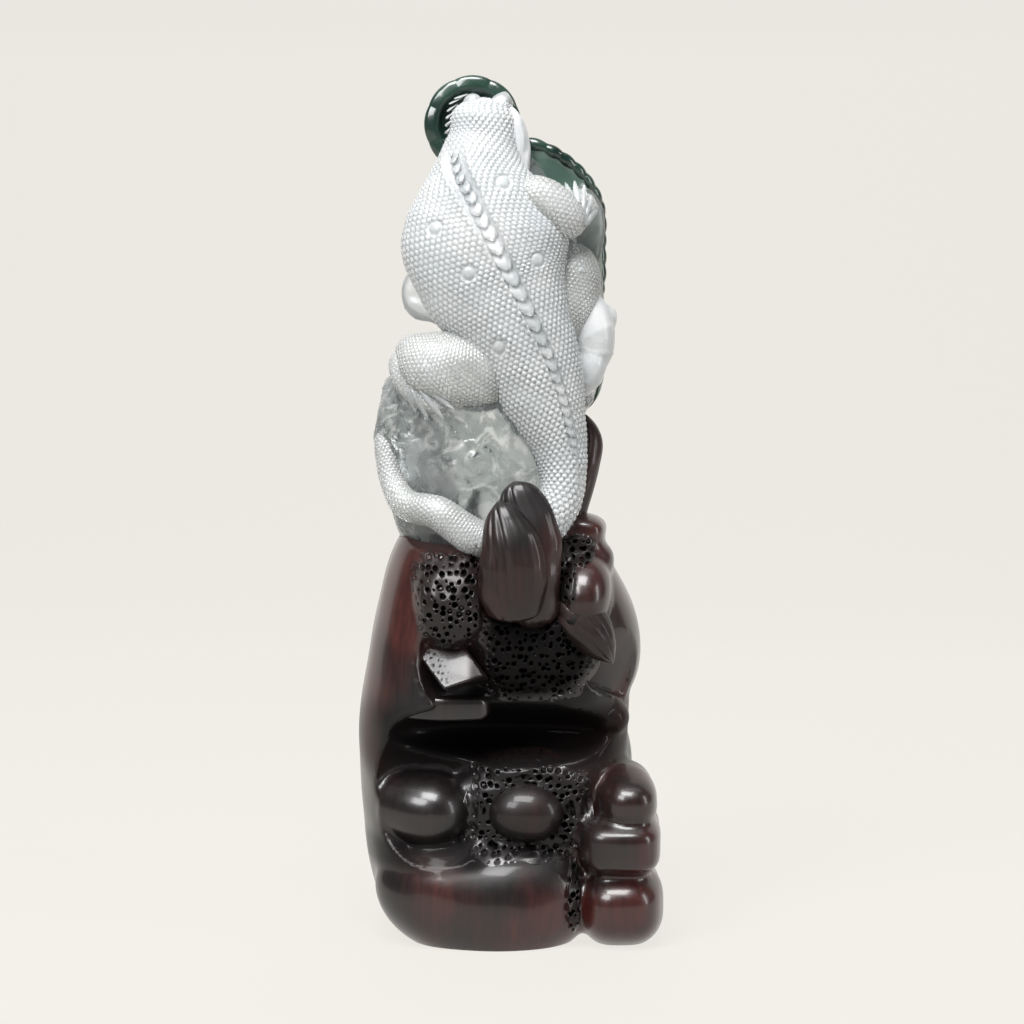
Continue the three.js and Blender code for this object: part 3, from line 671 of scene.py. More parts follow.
# A wrapped leaf has its cylinder's axis and radii, the turn and height of its middle, its half
# length and half width, and how it leans. rim is where it stands up, how wide and how high.
leaves = {
    "side_leaf": {"axis": [12, 12], "radii": [21.2, 16.5], "middle": [66, 104], "half": [62, 19.5],
                  "lean": 34, "scallops": 17, "notch": 0.03, "thickness": 3.4,
                  "rim": [0.93, 0.06, 0.7], "ribs": 0.1},
    "back_leaf": {"axis": [2, 9], "radii": [29, 21], "middle": [190, 104], "half": [38, 24],
                  "lean": -22, "scallops": 15, "notch": 0.045, "thickness": 3.4,
                  "rim": [0.93, 0.06, 0.9], "ribs": 0.45},
    "top_leaf": {"centre": [-14.6, 6, 161.2], "radius": 17.8, "cup": 6,
                 "scallops": 8, "notch": 0.022, "thickness": 3.4,
                 "rim": [0.84, 0.14, 2.4], "ribs": 0.14},
}

# The side leaf's edge rolls over towards the viewer in a scalloped lip: round the rim from one turn
# to another, then down the side at a fixed turn through some heights.
leafLip = {"turns": [104, 86, 70, 55, 41, 28, 17], "reach": 0.95, "side": 84, "heights": [116, 106, 96],
           "radius": 2.5, "scallop": 6.2, "depth": 0.5}


# The middle of a leaf's sheet for u and v from -1 to 1: wrapped on an upright oval cylinder and
# leaning, or a shallow dish that opens to the viewer.
def leafSheet(shape, u, v):
    if "centre" in shape:
        reach = u**2 + v**2
        (x, y, z), radius = shape["centre"], shape["radius"]
        return np.stack([x + radius * u, y - shape["cup"] * reach, z + radius * v], axis=-1)
    lean = math.radians(shape["lean"])
    long, wide = shape["half"]
    arc = wide * u * math.cos(lean) - long * v * math.sin(lean)
    high = shape["middle"][1] + long * v * math.cos(lean) + wide * u * math.sin(lean)
    turn = math.radians(shape["middle"][0]) + arc / (sum(shape["radii"]) / 2)
    return np.stack([*onCylinder(shape, turn), high], axis=-1)


# X and Y on a leaf's oval cylinder: the axis and a radius times the sine or cosine of the turn.
def onCylinder(shape, turn):
    (x, y), (across, deep) = shape["axis"], shape["radii"]
    return x + across * np.sin(turn), y - deep * np.cos(turn)


# A leaf: rings of points out from the middle, on both faces of the sheet. The rim is scalloped and
# rolled, and the face has a rib to each scallop with hollows between.
def leafSkin(shape, rings=40, sectors=204):
    reach = np.linspace(0, 1, rings + 1)[1:] ** 0.8
    turn = np.linspace(0, 2 * math.pi, sectors + 1)
    r, a = np.meshgrid(reach, turn, indexing="ij")
    lobes = np.abs(np.cos(a * shape["scallops"] / 2)) ** 0.6
    edge = r * (1 + shape["notch"] * (lobes - 0.8) * r**4)
    u, v = edge * np.cos(a), edge * np.sin(a)
    place = leafSheet(shape, u, v)
    step = 1e-3
    normal = unit(np.cross(leafSheet(shape, u + step, v) - leafSheet(shape, u - step, v),
                           leafSheet(shape, u, v + step) - leafSheet(shape, u, v - step)))
    middle, wide, high = shape["rim"]
    rim = high * np.exp(-((r - middle) / wide) ** 2)
    cleft = 1.4 * (1 - lobes) ** 2 * smoothStep(r, 0.35, 1)
    vein = shape["ribs"] * (np.cos(a * shape["scallops"]) * r**1.5 - cleft)
    half = shape["thickness"] / 2
    body = half * np.sqrt(np.maximum(1 - r**10, 0.0)) * (1 - 0.3 * r)
    face = place + normal * (body + rim + vein)[..., None]
    back = place - normal * (body + 0.5 * rim + 0.4 * vein)[..., None]
    points = np.concatenate([face, back[::-1]])
    poles = np.stack([face[0, :-1].mean(0), back[0, :-1].mean(0)])
    uv = np.concatenate([np.stack([u, v], axis=2), np.stack([u, v], axis=2)[::-1]])
    return closedGrid(points[:, :-1], poles, uv)


# Scallops along the lip: the size of a sine of the length, which wanders a little.
def lipRelief(points, marks):
    scallops = np.abs(np.sin(marks["length"] * math.pi / leafLip["scallop"] + 0.4 * swell(points, 15, 12)))
    return leafLip["depth"] * (scallops - 0.8), 0


# The lip's route: points of the sheet near its rim, then an upright line down its side.
def lipRoute():
    shape = leaves["side_leaf"]
    turns = np.radians(leafLip["turns"])
    upper = leafSheet(shape, leafLip["reach"] * np.cos(turns), leafLip["reach"] * np.sin(turns))
    x, y = onCylinder(shape, math.radians(leafLip["side"]))
    lower = [[x, y, z] for z in leafLip["heights"]]
    route = np.vstack([upper, lower])
    size = leafLip["radius"] * np.array([0.7, *[1] * (len(route) - 2), 0.6])
    return np.column_stack([route, size, size])


# Three leaves, and the lip as a tube with scallops.
def makeLeaves(green, pale):
    for name, shape in leaves.items():
        look = pale if name == "side_leaf" else green
        finishStone(meshObject(name, leafSkin(shape), seatHeight), look)
    lip = tube(lipRoute(), 220, 28, (0.04, 0.05), relief=lipRelief)
    finishStone(meshObject("side_leaf_lip", lip, seatHeight), green)


stand = {
    "boulders": [
        [[-13, 8, -4, 22, 36], [-13.5, 8, 4, 28.5, 44], [-16, 8, 16, 33.5, 48], [-20, 8, 32, 35, 50],
         [-22, 8, 54, 35, 49], [-23, 8, 76, 34.6, 47], [-21.8, 8, 98, 33, 45], [-17.5, 7, 128, 31, 41],
         [-13, 6, 140, 28, 35], [-10, 6, 147.5, 20, 26]],
        [[18, 14, -4, 18, 32], [18, 14, 20, 27, 42], [16, 14, 60, 28, 43], [16.5, 13, 90, 28.5, 42],
         [18, 12, 108, 31, 40], [13, 10, 131, 25.4, 36], [8.5, 8, 147, 21, 30], [8, 8, 152, 14, 22]],
    ],
    "footRoll": [[-38, -5, 26, 12, 13], [-30, -20, 19, 20, 21], [-8, -24, 14, 23, 23],
                 [11, -21, 16, 21, 21], [20, -15, 18, 14, 14]],
    "sideRoll": [[-48.5, -14, 49.4, 11, 13], [-40, -17, 49, 13, 16], [-28, -20.5, 47.8, 13.8, 19],
                 [-15, -20, 47, 12.6, 17]],
    # centre, half size, squareness, tilt in degrees, share of the height that is rounded
    "bosses": {
        "pittedGround": [[3, -14, 47], [27, 16, 19], 3, [0, 0, 0], 0.3],
        "rightFoot": [[40, -13, 13.5], [16, 32, 17.4], 3, [0, 0, 0], 0.42],
        "rightMiddle": [[40.6, -16, 36.4], [14.8, 29, 12], 4, [0, 0, -3], 0.32],
        "rightTop": [[42, -14, 52], [11.6, 28, 12.2], 2.8, [0, 0, 3], 0.44],
        "ledgeUnderBuds": [[5, -14, 109], [27, 18, 21], 2.6, [0, 0, 0], 0.5],
        "spongeLump": [[-22, -16, 124.4], [16, 22, 20.4], 2.8, [4, -8, 0], 0.45],
        "sideBoulder": [[26, -14, 126], [11, 22, 17], 2.4, [0, 8, 0], 0.5],
        "shelfRoot": [[-27, -17, 97], [14, 10, 11], 3, [0, 0, 0], 0.4],
        "seatLump": [[25.5, -4, 149.4], [9.4, 15, 8], 4.4, [0, 10, -6], 0.3],
        "underSeatLump": [[26, -5, 139], [12, 15, 9], 3, [0, 0, 0], 0.4],
        "sideLump": [[37, -10, 81], [7, 12, 7], 2.4, [0, 0, 0], 0.5],
        "sideLobe": [[22, 24, 56], [24.5, 27, 36], 2.4, [0, 0, 0], 0.5],
        "backFoot": [[14, 36, 22], [29, 27, 27], 2.6, [0, 0, -10], 0.5],
        "backBall": [[-24, 36, 54], [23, 24, 27], 2.4, [0, 0, 12], 0.5],
        "backShoulder": [[12, 34, 112], [25, 20, 30], 2.5, [0, 10, 0], 0.5],
    },
    "hollows": {
        "cave": [[-2, -50, 76.5], [45, 43, 13.5], 2.8, [0, 0, 0], 0.5],
        "ballRecess": [[-29, -48, 57], [27, 31, 28], 2.3, [0, 0, 0], 0.5],
        "upperRecess": [[-1.5, -54, 107], [36.5, 34, 31], 2.8, [0, 0, 0], 0.5],
        "groundRecess": [[6, -50, 50], [27, 24, 22], 3.4, [0, 0, 0], 0.4],
        "rightRecess": [[46, -42, 94], [14, 26, 10], 2.4, [0, 0, 0], 0.5],
        "backCave": [[-4, 74, 90], [36, 32, 24], 2.4, [0, -14, 0], 0.5],
        "sideHollow": [[66, 26, 96], [24, 22, 26], 2.2, [0, 0, 20], 0.5],
    },
    # flat cuts: a point on each, the way it faces and how far it reaches
    "facets": [[[43, -17, 120], [0.74, -0.62, 0.26], 180], [[-47, 34, 100], [-0.7, 0.7, 0.1], 180],
               [[37.2, -17.6, 103], [0.72, -0.66, -0.2], 12], [[-20, -30, 143.2], [-0.05, -0.3, 0.95], 60]],
    # painted shade in the cave, the recessed middle ground and the crescent under the ball: centre, half
    # size, how dark
    "shade": [[[0, -30, 75.5], [54, 50, 13.5], 0.97], [[6, -30, 100], [28, 50, 22], 0.8],
              [[6, -30, 48], [25, 50, 20], 0.6], [[-28, -30, 34], [26, 50, 6], 0.7]],
    "seatGap": 0.35,        # clearance round the stone
    "voxel": 1.22,
}

shelf = {
    "centre": [-23, -28, 98.6],
    "half": [17, 13.5, 8],
    "tilt": [57, -10, -7],
    "cuts": [[[-18, -39, 97.3], [0.3, -0.25, -0.95]], [[-34, -30, 106], [-0.8, -0.1, -0.6]],
             [[-8.5, -36, 98], [0.8, 0, 0.6]]],
    "voxel": 0.6,
    "bar": [[-40, -24, 87.4, 4.4, 7], [-25, -28, 87, 4.6, 7], [-8, -25, 86.8, 4.2, 7]],
    "ovalBoss": [[5.2, -26.6, 48], [14.4, 13, 11.5], 2.3],      # centre, half size, squareness
    "bossDark": 0.34,
}

# route, share of it that rounds each end, mesh size, and the turn of each groove in degrees
sprigs = {
    "front_bud": {"rows": [[1, -33, 120, 8, 6.5], [0.5, -36, 129, 12.3, 8.5], [0, -38, 143, 12, 8],
                           [-2.5, -36, 155, 8, 6.5], [-5, -33, 163, 2.5, 3]],
                  "ends": (0.1, 0.14), "rings": 120, "sides": 120, "flutes": [10, 34]},
    "rear_bud": {"rows": [[8, -28, 116, 9, 8], [8, -31, 134, 9.5, 8], [7, -31, 150, 10.6, 7],
                          [3, -29, 163, 8.4, 6], [1, -27, 170, 3, 4]],
                 "ends": (0.1, 0.14), "rings": 120, "sides": 110, "flutes": [14, 42]},
    "curl_leaf": {"rows": [[14, -19, 127, 5, 6], [23, -25, 121, 9, 9], [31, -28, 112, 7.5, 8],
                           [37, -27, 103, 1.8, 3]],
                  "ends": (0.2, 0.2), "rings": 84, "sides": 80, "flutes": [-20, 25]},
    "right_prong": {"rows": [[19, 2, 146, 7, 8], [23, 0, 160, 6, 7], [27.5, 1, 174, 5.4, 6],
                             [29.5, 3, 184, 4.4, 5], [27.5, 5, 193, 1.6, 2.4]],
                    "ends": (0.1, 0.14), "rings": 100, "sides": 60, "flutes": [10]},
    "back_prong": {"rows": [[8, 36, 140, 10, 6], [7, 38, 155, 10, 5.5], [9, 36, 170, 7, 4.5],
                            [12, 32, 180, 2, 2.5]],
                   "ends": (0.1, 0.14), "rings": 70, "sides": 60, "flutes": [180, 150, 210]},
    "left_prong": {"rows": [[-24, 30, 138, 10, 7], [-25, 34, 152, 8, 6], [-22, 33, 166, 5, 4.5],
                            [-18, 29, 174, 1.6, 2.4]],
                   "ends": (0.1, 0.14), "rings": 70, "sides": 60, "flutes": [180, 200]},
}


# Slow swells of the hand-polished wood, long ones and shorter, shallower ones.
def woodRelief(p):
    return 0.35 * swell(p, 60, 31) + 0.12 * swell(p, 16, 33)


# The block of the stand: two swept boulders less hollows and flat cuts, then rounded bosses and
# rolls fused on, and last the socket of the stone and the flat underside.
def makeStandBody(wood):
    boulders = [tube(rows, 110, 120, (0.04, 0.05), 2.5) for rows in stand["boulders"]]
    body = fused("stand_body", boulders, coarseVoxel)
    carved(body, fused("hollows", [pebble(*row) for row in stand["hollows"].values()], coarseVoxel))
    for point, way, reach in stand["facets"]:
        carved(body, meshObject("facet", beyond(point, way, reach)))
    bosses = [pebble(*row) for row in stand["bosses"].values()]
    bosses.append(tube(stand["footRoll"], 90, 90, (0.16, 0.16), 2.2))
    bosses.append(tube(stand["sideRoll"], 70, 80, (0.2, 0.36), 2.2))
    smoothed(added(body, fused("bosses", bosses, coarseVoxel), stand["voxel"]), 4)
    points, normals = vertsOf(body), normalsOf(body)
    moveVerts(body, points + normals * woodRelief(points)[:, None])
    gap = stand["seatGap"]
    seat = [[x, y, z + seatHeight, wide + gap, deep + gap] for x, y, z, wide, deep in rock["rows"]]
    seat[0][2] -= gap
    carved(body, meshObject("seat", tube(seat, 90, 90, (0.03, 0.06), rock["power"])))
    carved(body, meshObject("table", beyond([0, 0, 0], [0, 0, -1])))
    body.data.shade_smooth()
    # Painted shade: the wood is marked darker, duller and black in the cave, the recesses and under the
    # ball.
    points, dark = vertsOf(body), 0
    for middle, half, share in stand["shade"]:
        dark = np.maximum(dark, share * np.exp(-(((points - middle) / half) ** 4).sum(1)))
    setMark(body, dark)
    finishWood(body, wood)
    return body


# The shelf is a squared pebble with flat cuts, dark specks at its left and painted shadow on its right end.
# The bar under it is a squared tube, and the oval boss a plain pebble.
def makeShelf(wood):
    slab = meshObject("shelf", pebble(shelf["centre"], shelf["half"], 16, shelf["tilt"], 0.05, 60, 120))
    for point, way in shelf["cuts"]:
        carved(slab, meshObject("facet", beyond(point, way)))
    smoothed(remeshed(slab, shelf["voxel"]), 2)
    points = vertsOf(slab)
    x, z = points[:, 0], points[:, 2]
    specks = smoothStep(pitsAt(x, z, 2.0, 77), 0.7, 0.95) * (1 - smoothStep(x, -27, -20))
    # Painted shadow: the shelf's right end darker, where it turns out of the light.
    paintedShadowEnd = smoothStep(x + 0.5 * swell(points, 9, 78), -17, -13)
    setMark(slab, np.maximum(0.8 * specks, 0.7 * paintedShadowEnd))
    finishWood(slab, wood)
    finishWood(meshObject("shelf_bar", tube(shelf["bar"], 60, 56, (0.05, 0.16), 5)), wood)
    boss = meshObject("oval_boss", pebble(*shelf["ovalBoss"], rings=50, sides=72))
    setMark(boss, np.full(len(boss.data.vertices), shelf["bossDark"]))
    finishWood(boss, wood)


# Relief of a bud or shoot: a groove along it at each flute, deepest halfway up, with fine lines
# between them.
def fluted(angles):
    def relief(points, marks):
        t, height = marks["t"], 0
        for degrees in angles:
            away = np.degrees(marks["angle"]) - degrees - 14 * (t - 0.5)
            away = (away + 180) % 360 - 180
            height = height - 0.7 * np.exp(-(away / 5) ** 2) * np.sin(math.pi * np.clip(t, 0, 1)) ** 0.5
        fine = 0.05 * np.sin(marks["angle"] * 19 + 3 * t + swell(points, 20, 41))
        dark = 0.36 * np.sin(math.pi * np.clip(t, 0, 1)) ** 0.5
        return height + fine * np.sin(math.pi * t) + 0.3 * swell(points, 13, 42), dark
    return relief


# Buds, the curled leaf and the shoots: tubes with grooves along them.
def makeSprigs(wood):
    for name, sprig in sprigs.items():
        skin = tube(sprig["rows"], sprig["rings"], sprig["sides"], sprig["ends"],
                    relief=fluted(sprig["flutes"]))
        finishWood(meshObject(name, skin), wood)


ground = {
    # middle X and Z, half sizes, and how square the outline is
    "spaces": {
        "pitted_left_top": [[-22, 128], [14.4, 20], 3],
        "pitted_middle": [[8.5, 107], [22.5, 19], 3],
        "pitted_front": [[5.5, 49.5], [24, 19.5], 3.4],
        "pitted_seam": [[22.6, 18], [2.6, 14], 2.4],
        "pitted_right": [[18.5, 137], [5.5, 13], 2.4],
        "pitted_seat": [[23.5, 144], [8, 6], 2.4],
    },
    # painted shade on each space between its pits, darkest on the recessed middle under the buds
    "groundShade": [0.35, 0.85, 0.45, 0.4, 0.5, 0.6],        # how dark each space is between its pits
    "spacing": 0.42,        # between points of the mesh
    "proud": 2.3,           # how far the skin stands off the wood
    "under": 4.5,           # and how far behind the wood its hidden back lies
    "pitPitch": 2.7,
    "pitDepth": 2.15,
}


# Pits set out on a jittered grid: how deep the nearest one is at each place.
def pitsAt(x, z, pitch, seed):
    pick = np.random.default_rng(seed)
    size = 64
    jitter = pick.uniform(-0.34, 0.34, (size, size, 2))
    radius = pick.uniform(0.22, 0.44, (size, size)) * np.where(pick.random((size, size)) < 0.22, 0.4, 1)
    row = np.floor(z / pitch).astype(int)
    deepest = np.zeros(x.shape)
    for dz in (-1, 0, 1):
        shift = 0.5 * ((row + dz) % 2)
        column = np.floor(x / pitch - shift).astype(int)
        for dx in (-1, 0, 1):
            i, j = (row + dz) % size, (column + dx) % size
            cx = (column + dx + 0.5 + shift + jitter[i, j, 0]) * pitch
            cz = (row + dz + 0.5 + jitter[i, j, 1]) * pitch
            away = np.hypot(x - cx, z - cz) / (radius[i, j] * pitch)
            deepest = np.maximum(deepest, np.clip(1 - away**4, 0, 1))
    return deepest


# Spongy ground of the carving: a patch of skin that follows the body as the viewer sees it, stands
# a little proud of it and is drilled with small pits, closed by a coarse skin hidden in the wood.
# Its depth is where a line from the viewer meets the body, evened out over the neighbours.
def makeGround(wood, body):
    faces = [tuple(face.vertices) for face in body.data.polygons]
    tree = BVHTree.FromPolygons([tuple(corner) for corner in vertsOf(body)], faces)
    for seed, (name, (centre, half, power)) in enumerate(ground["spaces"].items()):
        rings = int(max(half) / ground["spacing"])
        sides = int(math.pi * 2 * max(half) / ground["spacing"] / 1.3)
        reach, turn = np.linspace(0, 1, rings + 1)[1:], np.linspace(0, 2 * math.pi, sides + 1)
        r, a = np.meshgrid(reach, turn, indexing="ij")
        outline = 1 + 0.05 * np.sin(3 * a + seed) + 0.035 * np.sin(7 * a + 2 * seed)
        x = centre[0] + half[0] * r * outline * squaredOff(np.cos(a), power)
        z = centre[1] + half[1] * r * outline * squaredOff(np.sin(a), power)
        spots = zip(x[:, :-1].ravel(), z[:, :-1].ravel())
        hits = [tree.ray_cast((px, -80.0, pz), (0, 1, 0))[0] or (px, np.nan, pz) for px, pz in spots]
        y = np.array([hit[1] for hit in hits]).reshape(rings, sides)
        y = np.where(np.isnan(y), np.nanmedian(y), y)
        y = np.concatenate([y, y[:, :1]], axis=1)
        for _ in range(8):
            inner = (np.roll(y[:, :-1], 1, axis=1) + np.roll(y[:, :-1], -1, axis=1)) / 2
            y[:, :-1] = y[:, :-1] * 0.5 + inner * 0.5
            y[:, -1] = y[:, 0]
            y[1:-1] = y[1:-1] * 0.5 + (y[:-2] + y[2:]) * 0.25
        fade = 1 - smoothStep(r, 0.68, 1.0)
        pits = pitsAt(x, z, ground["pitPitch"], 50 + seed)
        rough = 0.45 * swell(np.stack([x, y, z], axis=2), 9, 61)
        front = y - fade * (ground["proud"] + rough) + fade**0.5 * ground["pitDepth"] * pits
        backRings = [rings - 1, rings // 2, 0]
        back = np.stack([x, y + ground["under"], z], axis=2)[backRings]
        points = np.concatenate([np.stack([x, front, z], axis=2), back])
        poles = np.stack([points[0, :-1].mean(0), points[-1, :-1].mean(0)])
        uv = np.stack([points[..., 0], points[..., 2]], axis=2)
        # Painted shade: black in the pits and darker between them on the recessed ground, fading out towards
        # the patch's edge.
        dark = fade * np.maximum(smoothStep(pits, 0.05, 0.6), ground["groundShade"][seed])
        dark = np.concatenate([dark, np.zeros(back.shape[:2])])
        finishWood(meshObject(name, closedGrid(points[:, :-1], poles, uv, dark)), wood)


# Shader sums written as Python: each operator adds a Math node and hands back its socket.
class Socket:
    def __init__(self, look, out):
        self.look, self.out = look, out

    def math(self, kind, *values):
        return self.look.node("ShaderNodeMath", {"operation": kind}, dict(enumerate(values)))

    def __add__(self, other):
        return self.math("ADD", self, other)

    def __radd__(self, other):
        return self.math("ADD", other, self)

    def __sub__(self, other):
        return self.math("SUBTRACT", self, other)

    def __rsub__(self, other):
        return self.math("SUBTRACT", other, self)

    def __mul__(self, other):
        return self.math("MULTIPLY", self, other)

    def __rmul__(self, other):
        return self.math("MULTIPLY", other, self)

    def __truediv__(self, other):
        return self.math("DIVIDE", self, other)

    def __rtruediv__(self, other):
        return self.math("DIVIDE", other, self)

    def fraction(self):
        return self.math("FRACT", self)

    def least(self, other):
        return self.math("MINIMUM", self, other)

    def most(self, other):
        return self.math("MAXIMUM", self, other)

    def rise(self, low, high):      # 0 below low, 1 above high, smooth between
        return self.look.node("ShaderNodeMapRange", {"interpolation_type": "SMOOTHSTEP"},
                              {"Value": self, "From Min": low, "From Max": high})


# A material on one Principled shader, whose constants are set by name.
class Look:
    def __init__(self, name, **constants):
        self.material = bpy.data.materials.new(name)
        self.material.use_nodes = True
        self.tree = self.material.node_tree
        self.shader = self.tree.nodes["Principled BSDF"]
        for key, value in constants.items():
            self.shader.inputs[key.replace("_", " ")].default_value = value

    def node(self, kind, settings=None, inputs=None, output=0):
        made = self.tree.nodes.new(kind)
        for key, value in (settings or {}).items():
            setattr(made, key, value)
        for key, value in (inputs or {}).items():
            if isinstance(value, Socket):
                self.tree.links.new(value.out, made.inputs[key])
            else:
                made.inputs[key].default_value = value
        return Socket(self, made.outputs[output])

    def link(self, socket, name):
        self.tree.links.new(socket.out, self.shader.inputs[name])

    def place(self, stretch=(1, 1, 1)):
        where = self.node("ShaderNodeTexCoord", output="Object")
        return self.node("ShaderNodeVectorMath", {"operation": "MULTIPLY"}, {0: where, 1: stretch})

    def noise(self, place, scale, detail=3.0, rough=0.5, warp=0.0):
        return self.node("ShaderNodeTexNoise", {"noise_dimensions": "3D"},
                         {"Vector": place, "Scale": scale, "Detail": detail,
                          "Roughness": rough, "Distortion": warp})

    def blend(self, share, a, b):
        return self.node("ShaderNodeMix", {"data_type": "RGBA"}, {0: share, 6: a, 7: b}, output=2)

    def bump(self, height, strength, distance):
        lit = self.node("ShaderNodeBump", {}, {"Strength": strength, "Distance": distance, "Height": height})
        self.link(lit, "Normal")


# A screen colour from 0 to 255 as the linear values that shaders use.
def srgb(r, g, b):
    return (*[((v / 255 + 0.055) / 1.055) ** 2.4 if v > 10 else v / 255 / 12.92 for v in (r, g, b)], 1)


# Hex rows of scales once more, from the map that the surfaces carry in millimetres: 1 on top of a
# scale and 0 in the groove round it.
def scaleTops(look, pitch):
    scaleMap = look.node("ShaderNodeUVMap", {"uv_map": "scaleMap"})
    across = look.node("ShaderNodeSeparateXYZ", {}, {"Vector": scaleMap})
    along = Socket(look, across.out.node.outputs["Y"])

    def away(shift):
        a = (across / pitch - shift + 0.5).fraction() - 0.5
        b = (along / (pitch * rowShare) - shift + 0.5).fraction() - 0.5
        return a * a + b * b * (1.35 * rowShare**2)

    return (1 - away(0.0).least(away(0.5)) / 0.25).most(0.0)


# Cut and rubbed quartz: milky, with painted shade in the grooves between scales where a pitch is given,
# depth setting how dark.
def frostedQuartz(name="frosted_quartz", pitch=None, seeThrough=0.45, tint=(232, 236, 239), depth=0.55):
    look = Look(name, IOR=1.54, Transmission_Weight=seeThrough)
    place = look.place()
    cloud = look.noise(place, 60, 4, 0.6, 0.6)
    fine = look.noise(place, 900, 3, 0.6)
    colour = look.blend(cloud.rise(0.35, 0.7), srgb(*tint), srgb(250, 251, 252))
    rough = 0.22 + 0.2 * cloud
    if pitch:
        scaly = look.node("ShaderNodeAttribute", {"attribute_name": "mark"}, output=2)
        # Painted shade: the grooves between the scales darkened, as if in the shadow of the domes.
        groove = scaly * (1 - scaleTops(look, pitch).rise(-0.1, 0.9))
        colour = look.blend(depth * groove, colour, srgb(120, 130, 131))
        rough = rough - 0.12 * scaly + 0.25 * groove
        colour = look.blend(0.35 * (1 - scaly), colour, srgb(192, 200, 201))
    look.link(colour, "Base Color")
    look.link(rough, "Roughness")
    look.bump(fine + 0.6 * cloud, 0.2, 0.0003)
    return look.material


# Polished see-through quartz with white veils where a warped noise is high.
def clearQuartz():
    look = Look("clear_quartz", IOR=1.54, Transmission_Weight=0.82)
    place = look.place()
    cloud = look.noise(place, 45, 4, 0.6, 0.8)
    veil = look.noise(place, 95, 3, 0.55, 1.8)
    colour = look.blend(cloud.rise(0.4, 0.75), srgb(158, 166, 166), srgb(216, 221, 222))
    high = look.node("ShaderNodeSeparateXYZ", {}, {"Vector": place}, output=2)
    veiled = (veil + 0.05 * high.rise(0.17, 0.194)).rise(0.54, 0.68)
    look.link(look.blend(veiled, colour, srgb(244, 246, 246)), "Base Color")
    look.link(0.12 + 0.3 * cloud.rise(0.4, 0.65), "Roughness")
    look.bump(veil + cloud, 0.35, 0.0006)
    return look.material


# Dark green quartz under a high polish.
def greenLeaf(name="green_quartz", deepColour=(14, 34, 29), paleColour=(38, 64, 54)):
    look = Look(name, IOR=1.54, Transmission_Weight=0.1, Coat_Weight=0.5, Coat_Roughness=0.06)
    place = look.place()
    cloud = look.noise(place, 50, 3, 0.5, 0.8)
    look.link(look.blend(cloud.rise(0.35, 0.7), srgb(*deepColour), srgb(*paleColour)), "Base Color")
    look.link(0.16 + 0.14 * cloud, "Roughness")
    look.bump(cloud, 0.15, 0.0005)
    return look.material


# Polished rosewood, its grain stretched up the stand, dull and black where the mark of painted shade and
# darker tone is high.
def rosewood(name="rosewood", redness=1.0):
    look = Look(name, IOR=1.5, Coat_Roughness=0.14)
    slow = look.noise(look.place(), 16, 2, 0.5, 0.5)
    grain = look.noise(look.place((1.0, 1.0, 0.1)), 420, 4, 0.55, 0.5)
    pore = look.noise(look.place((1.0, 1.0, 0.08)), 1500, 2, 0.5)
    shadeAndTone = look.node("ShaderNodeAttribute", {"attribute_name": "mark"}, output=2)
    warm = look.blend(grain.rise(0.3, 0.75), srgb(46, 17, 15), srgb(64, 25, 20))
    dark = look.blend(grain.rise(0.3, 0.75), srgb(13, 9, 10), srgb(24, 14, 14))
    polished = look.blend(redness * slow.rise(0.42, 0.64), dark, warm)
    # Painted shade: the mark blackens pits, recesses and the shelf's end; on the buds and the oval boss it
    # darkens the wood's tone.
    look.link(look.blend(shadeAndTone, polished, srgb(3, 2, 2)), "Base Color")
    look.link(0.28 + 0.12 * grain + 0.5 * shadeAndTone, "Roughness")
    look.link(0.5 - 0.5 * shadeAndTone, "Coat Weight")
    look.link(0.9 * shadeAndTone, "Metallic")        # a black metal gives back almost nothing, as a deep hole does
    look.bump(0.6 * grain + 0.4 * pore, 0.12, 0.0002)
    return look.material


# metres and degrees
stage = {
    "metresPerPixel": 0.3758e-3,    # at the object: it sets how far off the camera stands
    "lens": 85.0,
    "sensor": 36,
    "tilt": 4.0,
    "target": (0.0, 0.0, 0.1567),
    "floorFrom": -2.0,
    "bendFrom": 0.75,
    "bendRadius": 0.5,
    "wallHeight": 2.4,
    "halfWidth": 2.2,
    "roomLight": 0.14,
}


# Floor and wall in one sheet: flat, then a quarter circle up into an upright wall.
def makeStage():
    bend, back = stage["bendRadius"], stage["bendFrom"]
    flat = np.linspace(stage["floorFrom"], back, 12)
    turn = np.linspace(0, math.pi / 2, 24)
    wall = np.linspace(bend, stage["wallHeight"], 10)
    y = np.concatenate([flat, back + bend * np.sin(turn), np.full(len(wall), back + bend)])
    z = np.concatenate([np.zeros(len(flat)), bend * (1 - np.cos(turn)), wall])
    x = np.linspace(-stage["halfWidth"], stage["halfWidth"], 12)
    verts = np.stack(np.broadcast_arrays(x[None, :], y[:, None], z[:, None]), axis=2).reshape(-1, 3)
    i, j = np.meshgrid(np.arange(len(y) - 1), np.arange(len(x) - 1), indexing="ij")
    a = i * len(x) + j
    quads = np.stack([a, a + 1, a + 1 + len(x), a + len(x)], axis=2).reshape(-1, 4)
    mesh = bpy.data.meshes.new("studio_floor")
    mesh.from_pydata(verts.tolist(), [], quads.tolist())
    mesh.polygons.foreach_set("use_smooth", np.ones(len(quads), bool))
    floor = bpy.data.objects.new("studio_floor", mesh)
    bpy.context.scene.collection.objects.link(floor)
    paper = Look("paper", Roughness=0.9, Emission_Color=srgb(238, 235, 228), Emission_Strength=0.92)
    place = paper.place()
    paper.link(paper.blend(paper.noise(place, 3.0, 2), srgb(52, 51, 50), srgb(48, 47, 46)), "Base Color")
    mesh.materials.append(paper.material)


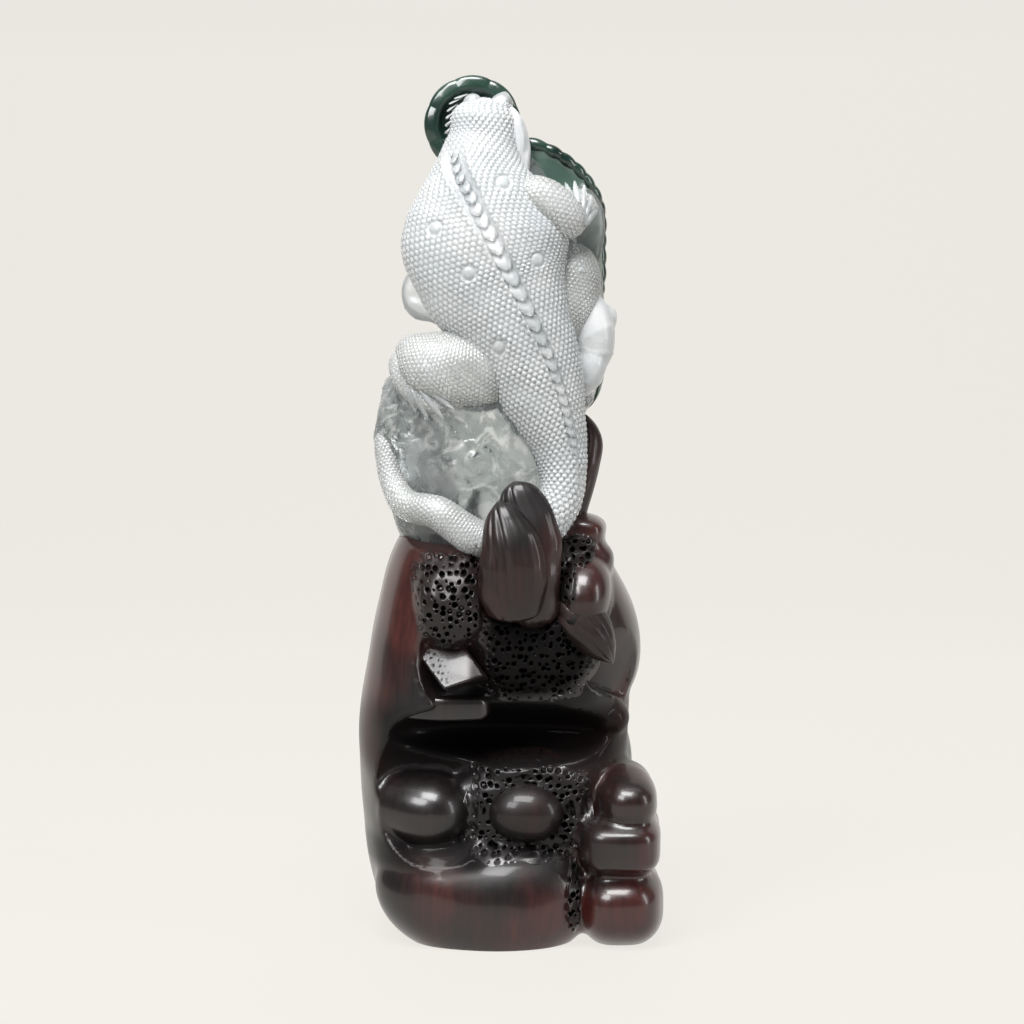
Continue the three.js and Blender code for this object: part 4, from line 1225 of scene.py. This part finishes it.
# A rectangular lamp at a place, turned towards the point it aims at.
def areaLight(name, place, size, power, colour=(1, 1, 1), aim=(0, 0, 0.16)):
    data = bpy.data.lights.new(name, "AREA")
    data.shape = "RECTANGLE"
    data.size, data.size_y = size
    data.energy = power
    data.color = colour
    lamp = bpy.data.objects.new(name, data)
    lamp.location = place
    lamp.rotation_euler = (Vector(aim) - Vector(place)).to_track_quat("-Z", "Y").to_euler()
    bpy.context.scene.collection.objects.link(lamp)


# Soft window light from above and the left, a faint strip from the right, a wash on the wall, and
# a camera that stands off until the picture is as wide as the pixels ask for.
def makeLightAndCamera():
    areaLight("sky_panel", (-0.1, -0.42, 1.06), (0.6, 0.45), 15.0)
    areaLight("key_window", (-0.62, -0.8, 0.92), (0.6, 0.5), 12.5)
    areaLight("right_strip", (0.95, -0.35, 0.4), (0.2, 0.7), 3.0)
    areaLight("wall_wash", (0.0, 0.1, 1.7), (1.8, 0.4), 3.0, aim=(0, 1.25, 0.5))
    world = bpy.data.worlds.new("room")
    world.use_nodes = True
    background = world.node_tree.nodes["Background"]
    background.inputs["Color"].default_value = srgb(240, 240, 238)
    background.inputs["Strength"].default_value = stage["roomLight"]
    bpy.context.scene.world = world
    bpy.context.scene.view_settings.view_transform = "Standard"
    data = bpy.data.cameras.new("viewer")
    data.lens, data.sensor_width = stage["lens"], stage["sensor"]
    camera = bpy.data.objects.new("viewer", data)
    pictureWidth = 1024 * stage["metresPerPixel"]
    away = stage["lens"] * pictureWidth / stage["sensor"]
    tilt = math.radians(stage["tilt"])
    target = Vector(stage["target"])
    camera.location = target + Vector((0, -math.cos(tilt), math.sin(tilt))) * away
    camera.rotation_euler = (target - camera.location).to_track_quat("-Z", "Y").to_euler()
    bpy.context.scene.collection.objects.link(camera)
    bpy.context.scene.camera = camera


print("looks and stone")
frosted, clear, green, wood = frostedQuartz(), clearQuartz(), greenLeaf(), rosewood()
fineScaled = frostedQuartz("fine_scaled_quartz", lizard["finePitch"], 0.64, (224, 226, 223), 0.3)
paleGreen = greenLeaf("pale_green_quartz", (62, 84, 76), (84, 108, 98))
makeLizard(frostedQuartz("scaled_quartz", lizard["scalePitch"], 0.52, (236, 240, 243)), fineScaled)
clearer = frostedQuartz("clearer_quartz", seeThrough=0.75, tint=(222, 227, 229))
makeLimbs(clearer, fineScaled)
makeHead(frosted, clearer)
makeCrest(clearer)
veilLook = frostedQuartz("veil_quartz", seeThrough=0.92, tint=(184, 196, 192))
makeRock(clear, {"frosted_spur": frosted, "frosted_lobe": clearer, "frosted_veil": veilLook})
makeLeaves(green, paleGreen)
print("wooden stand")
body = makeStandBody(wood)
makeShelf(wood)
makeSprigs(wood)
makeGround(rosewood("pitted_rosewood", 0.3), body)
print("floor, light and camera for", len(pieces), "pieces")
makeStage()
makeLightAndCamera()
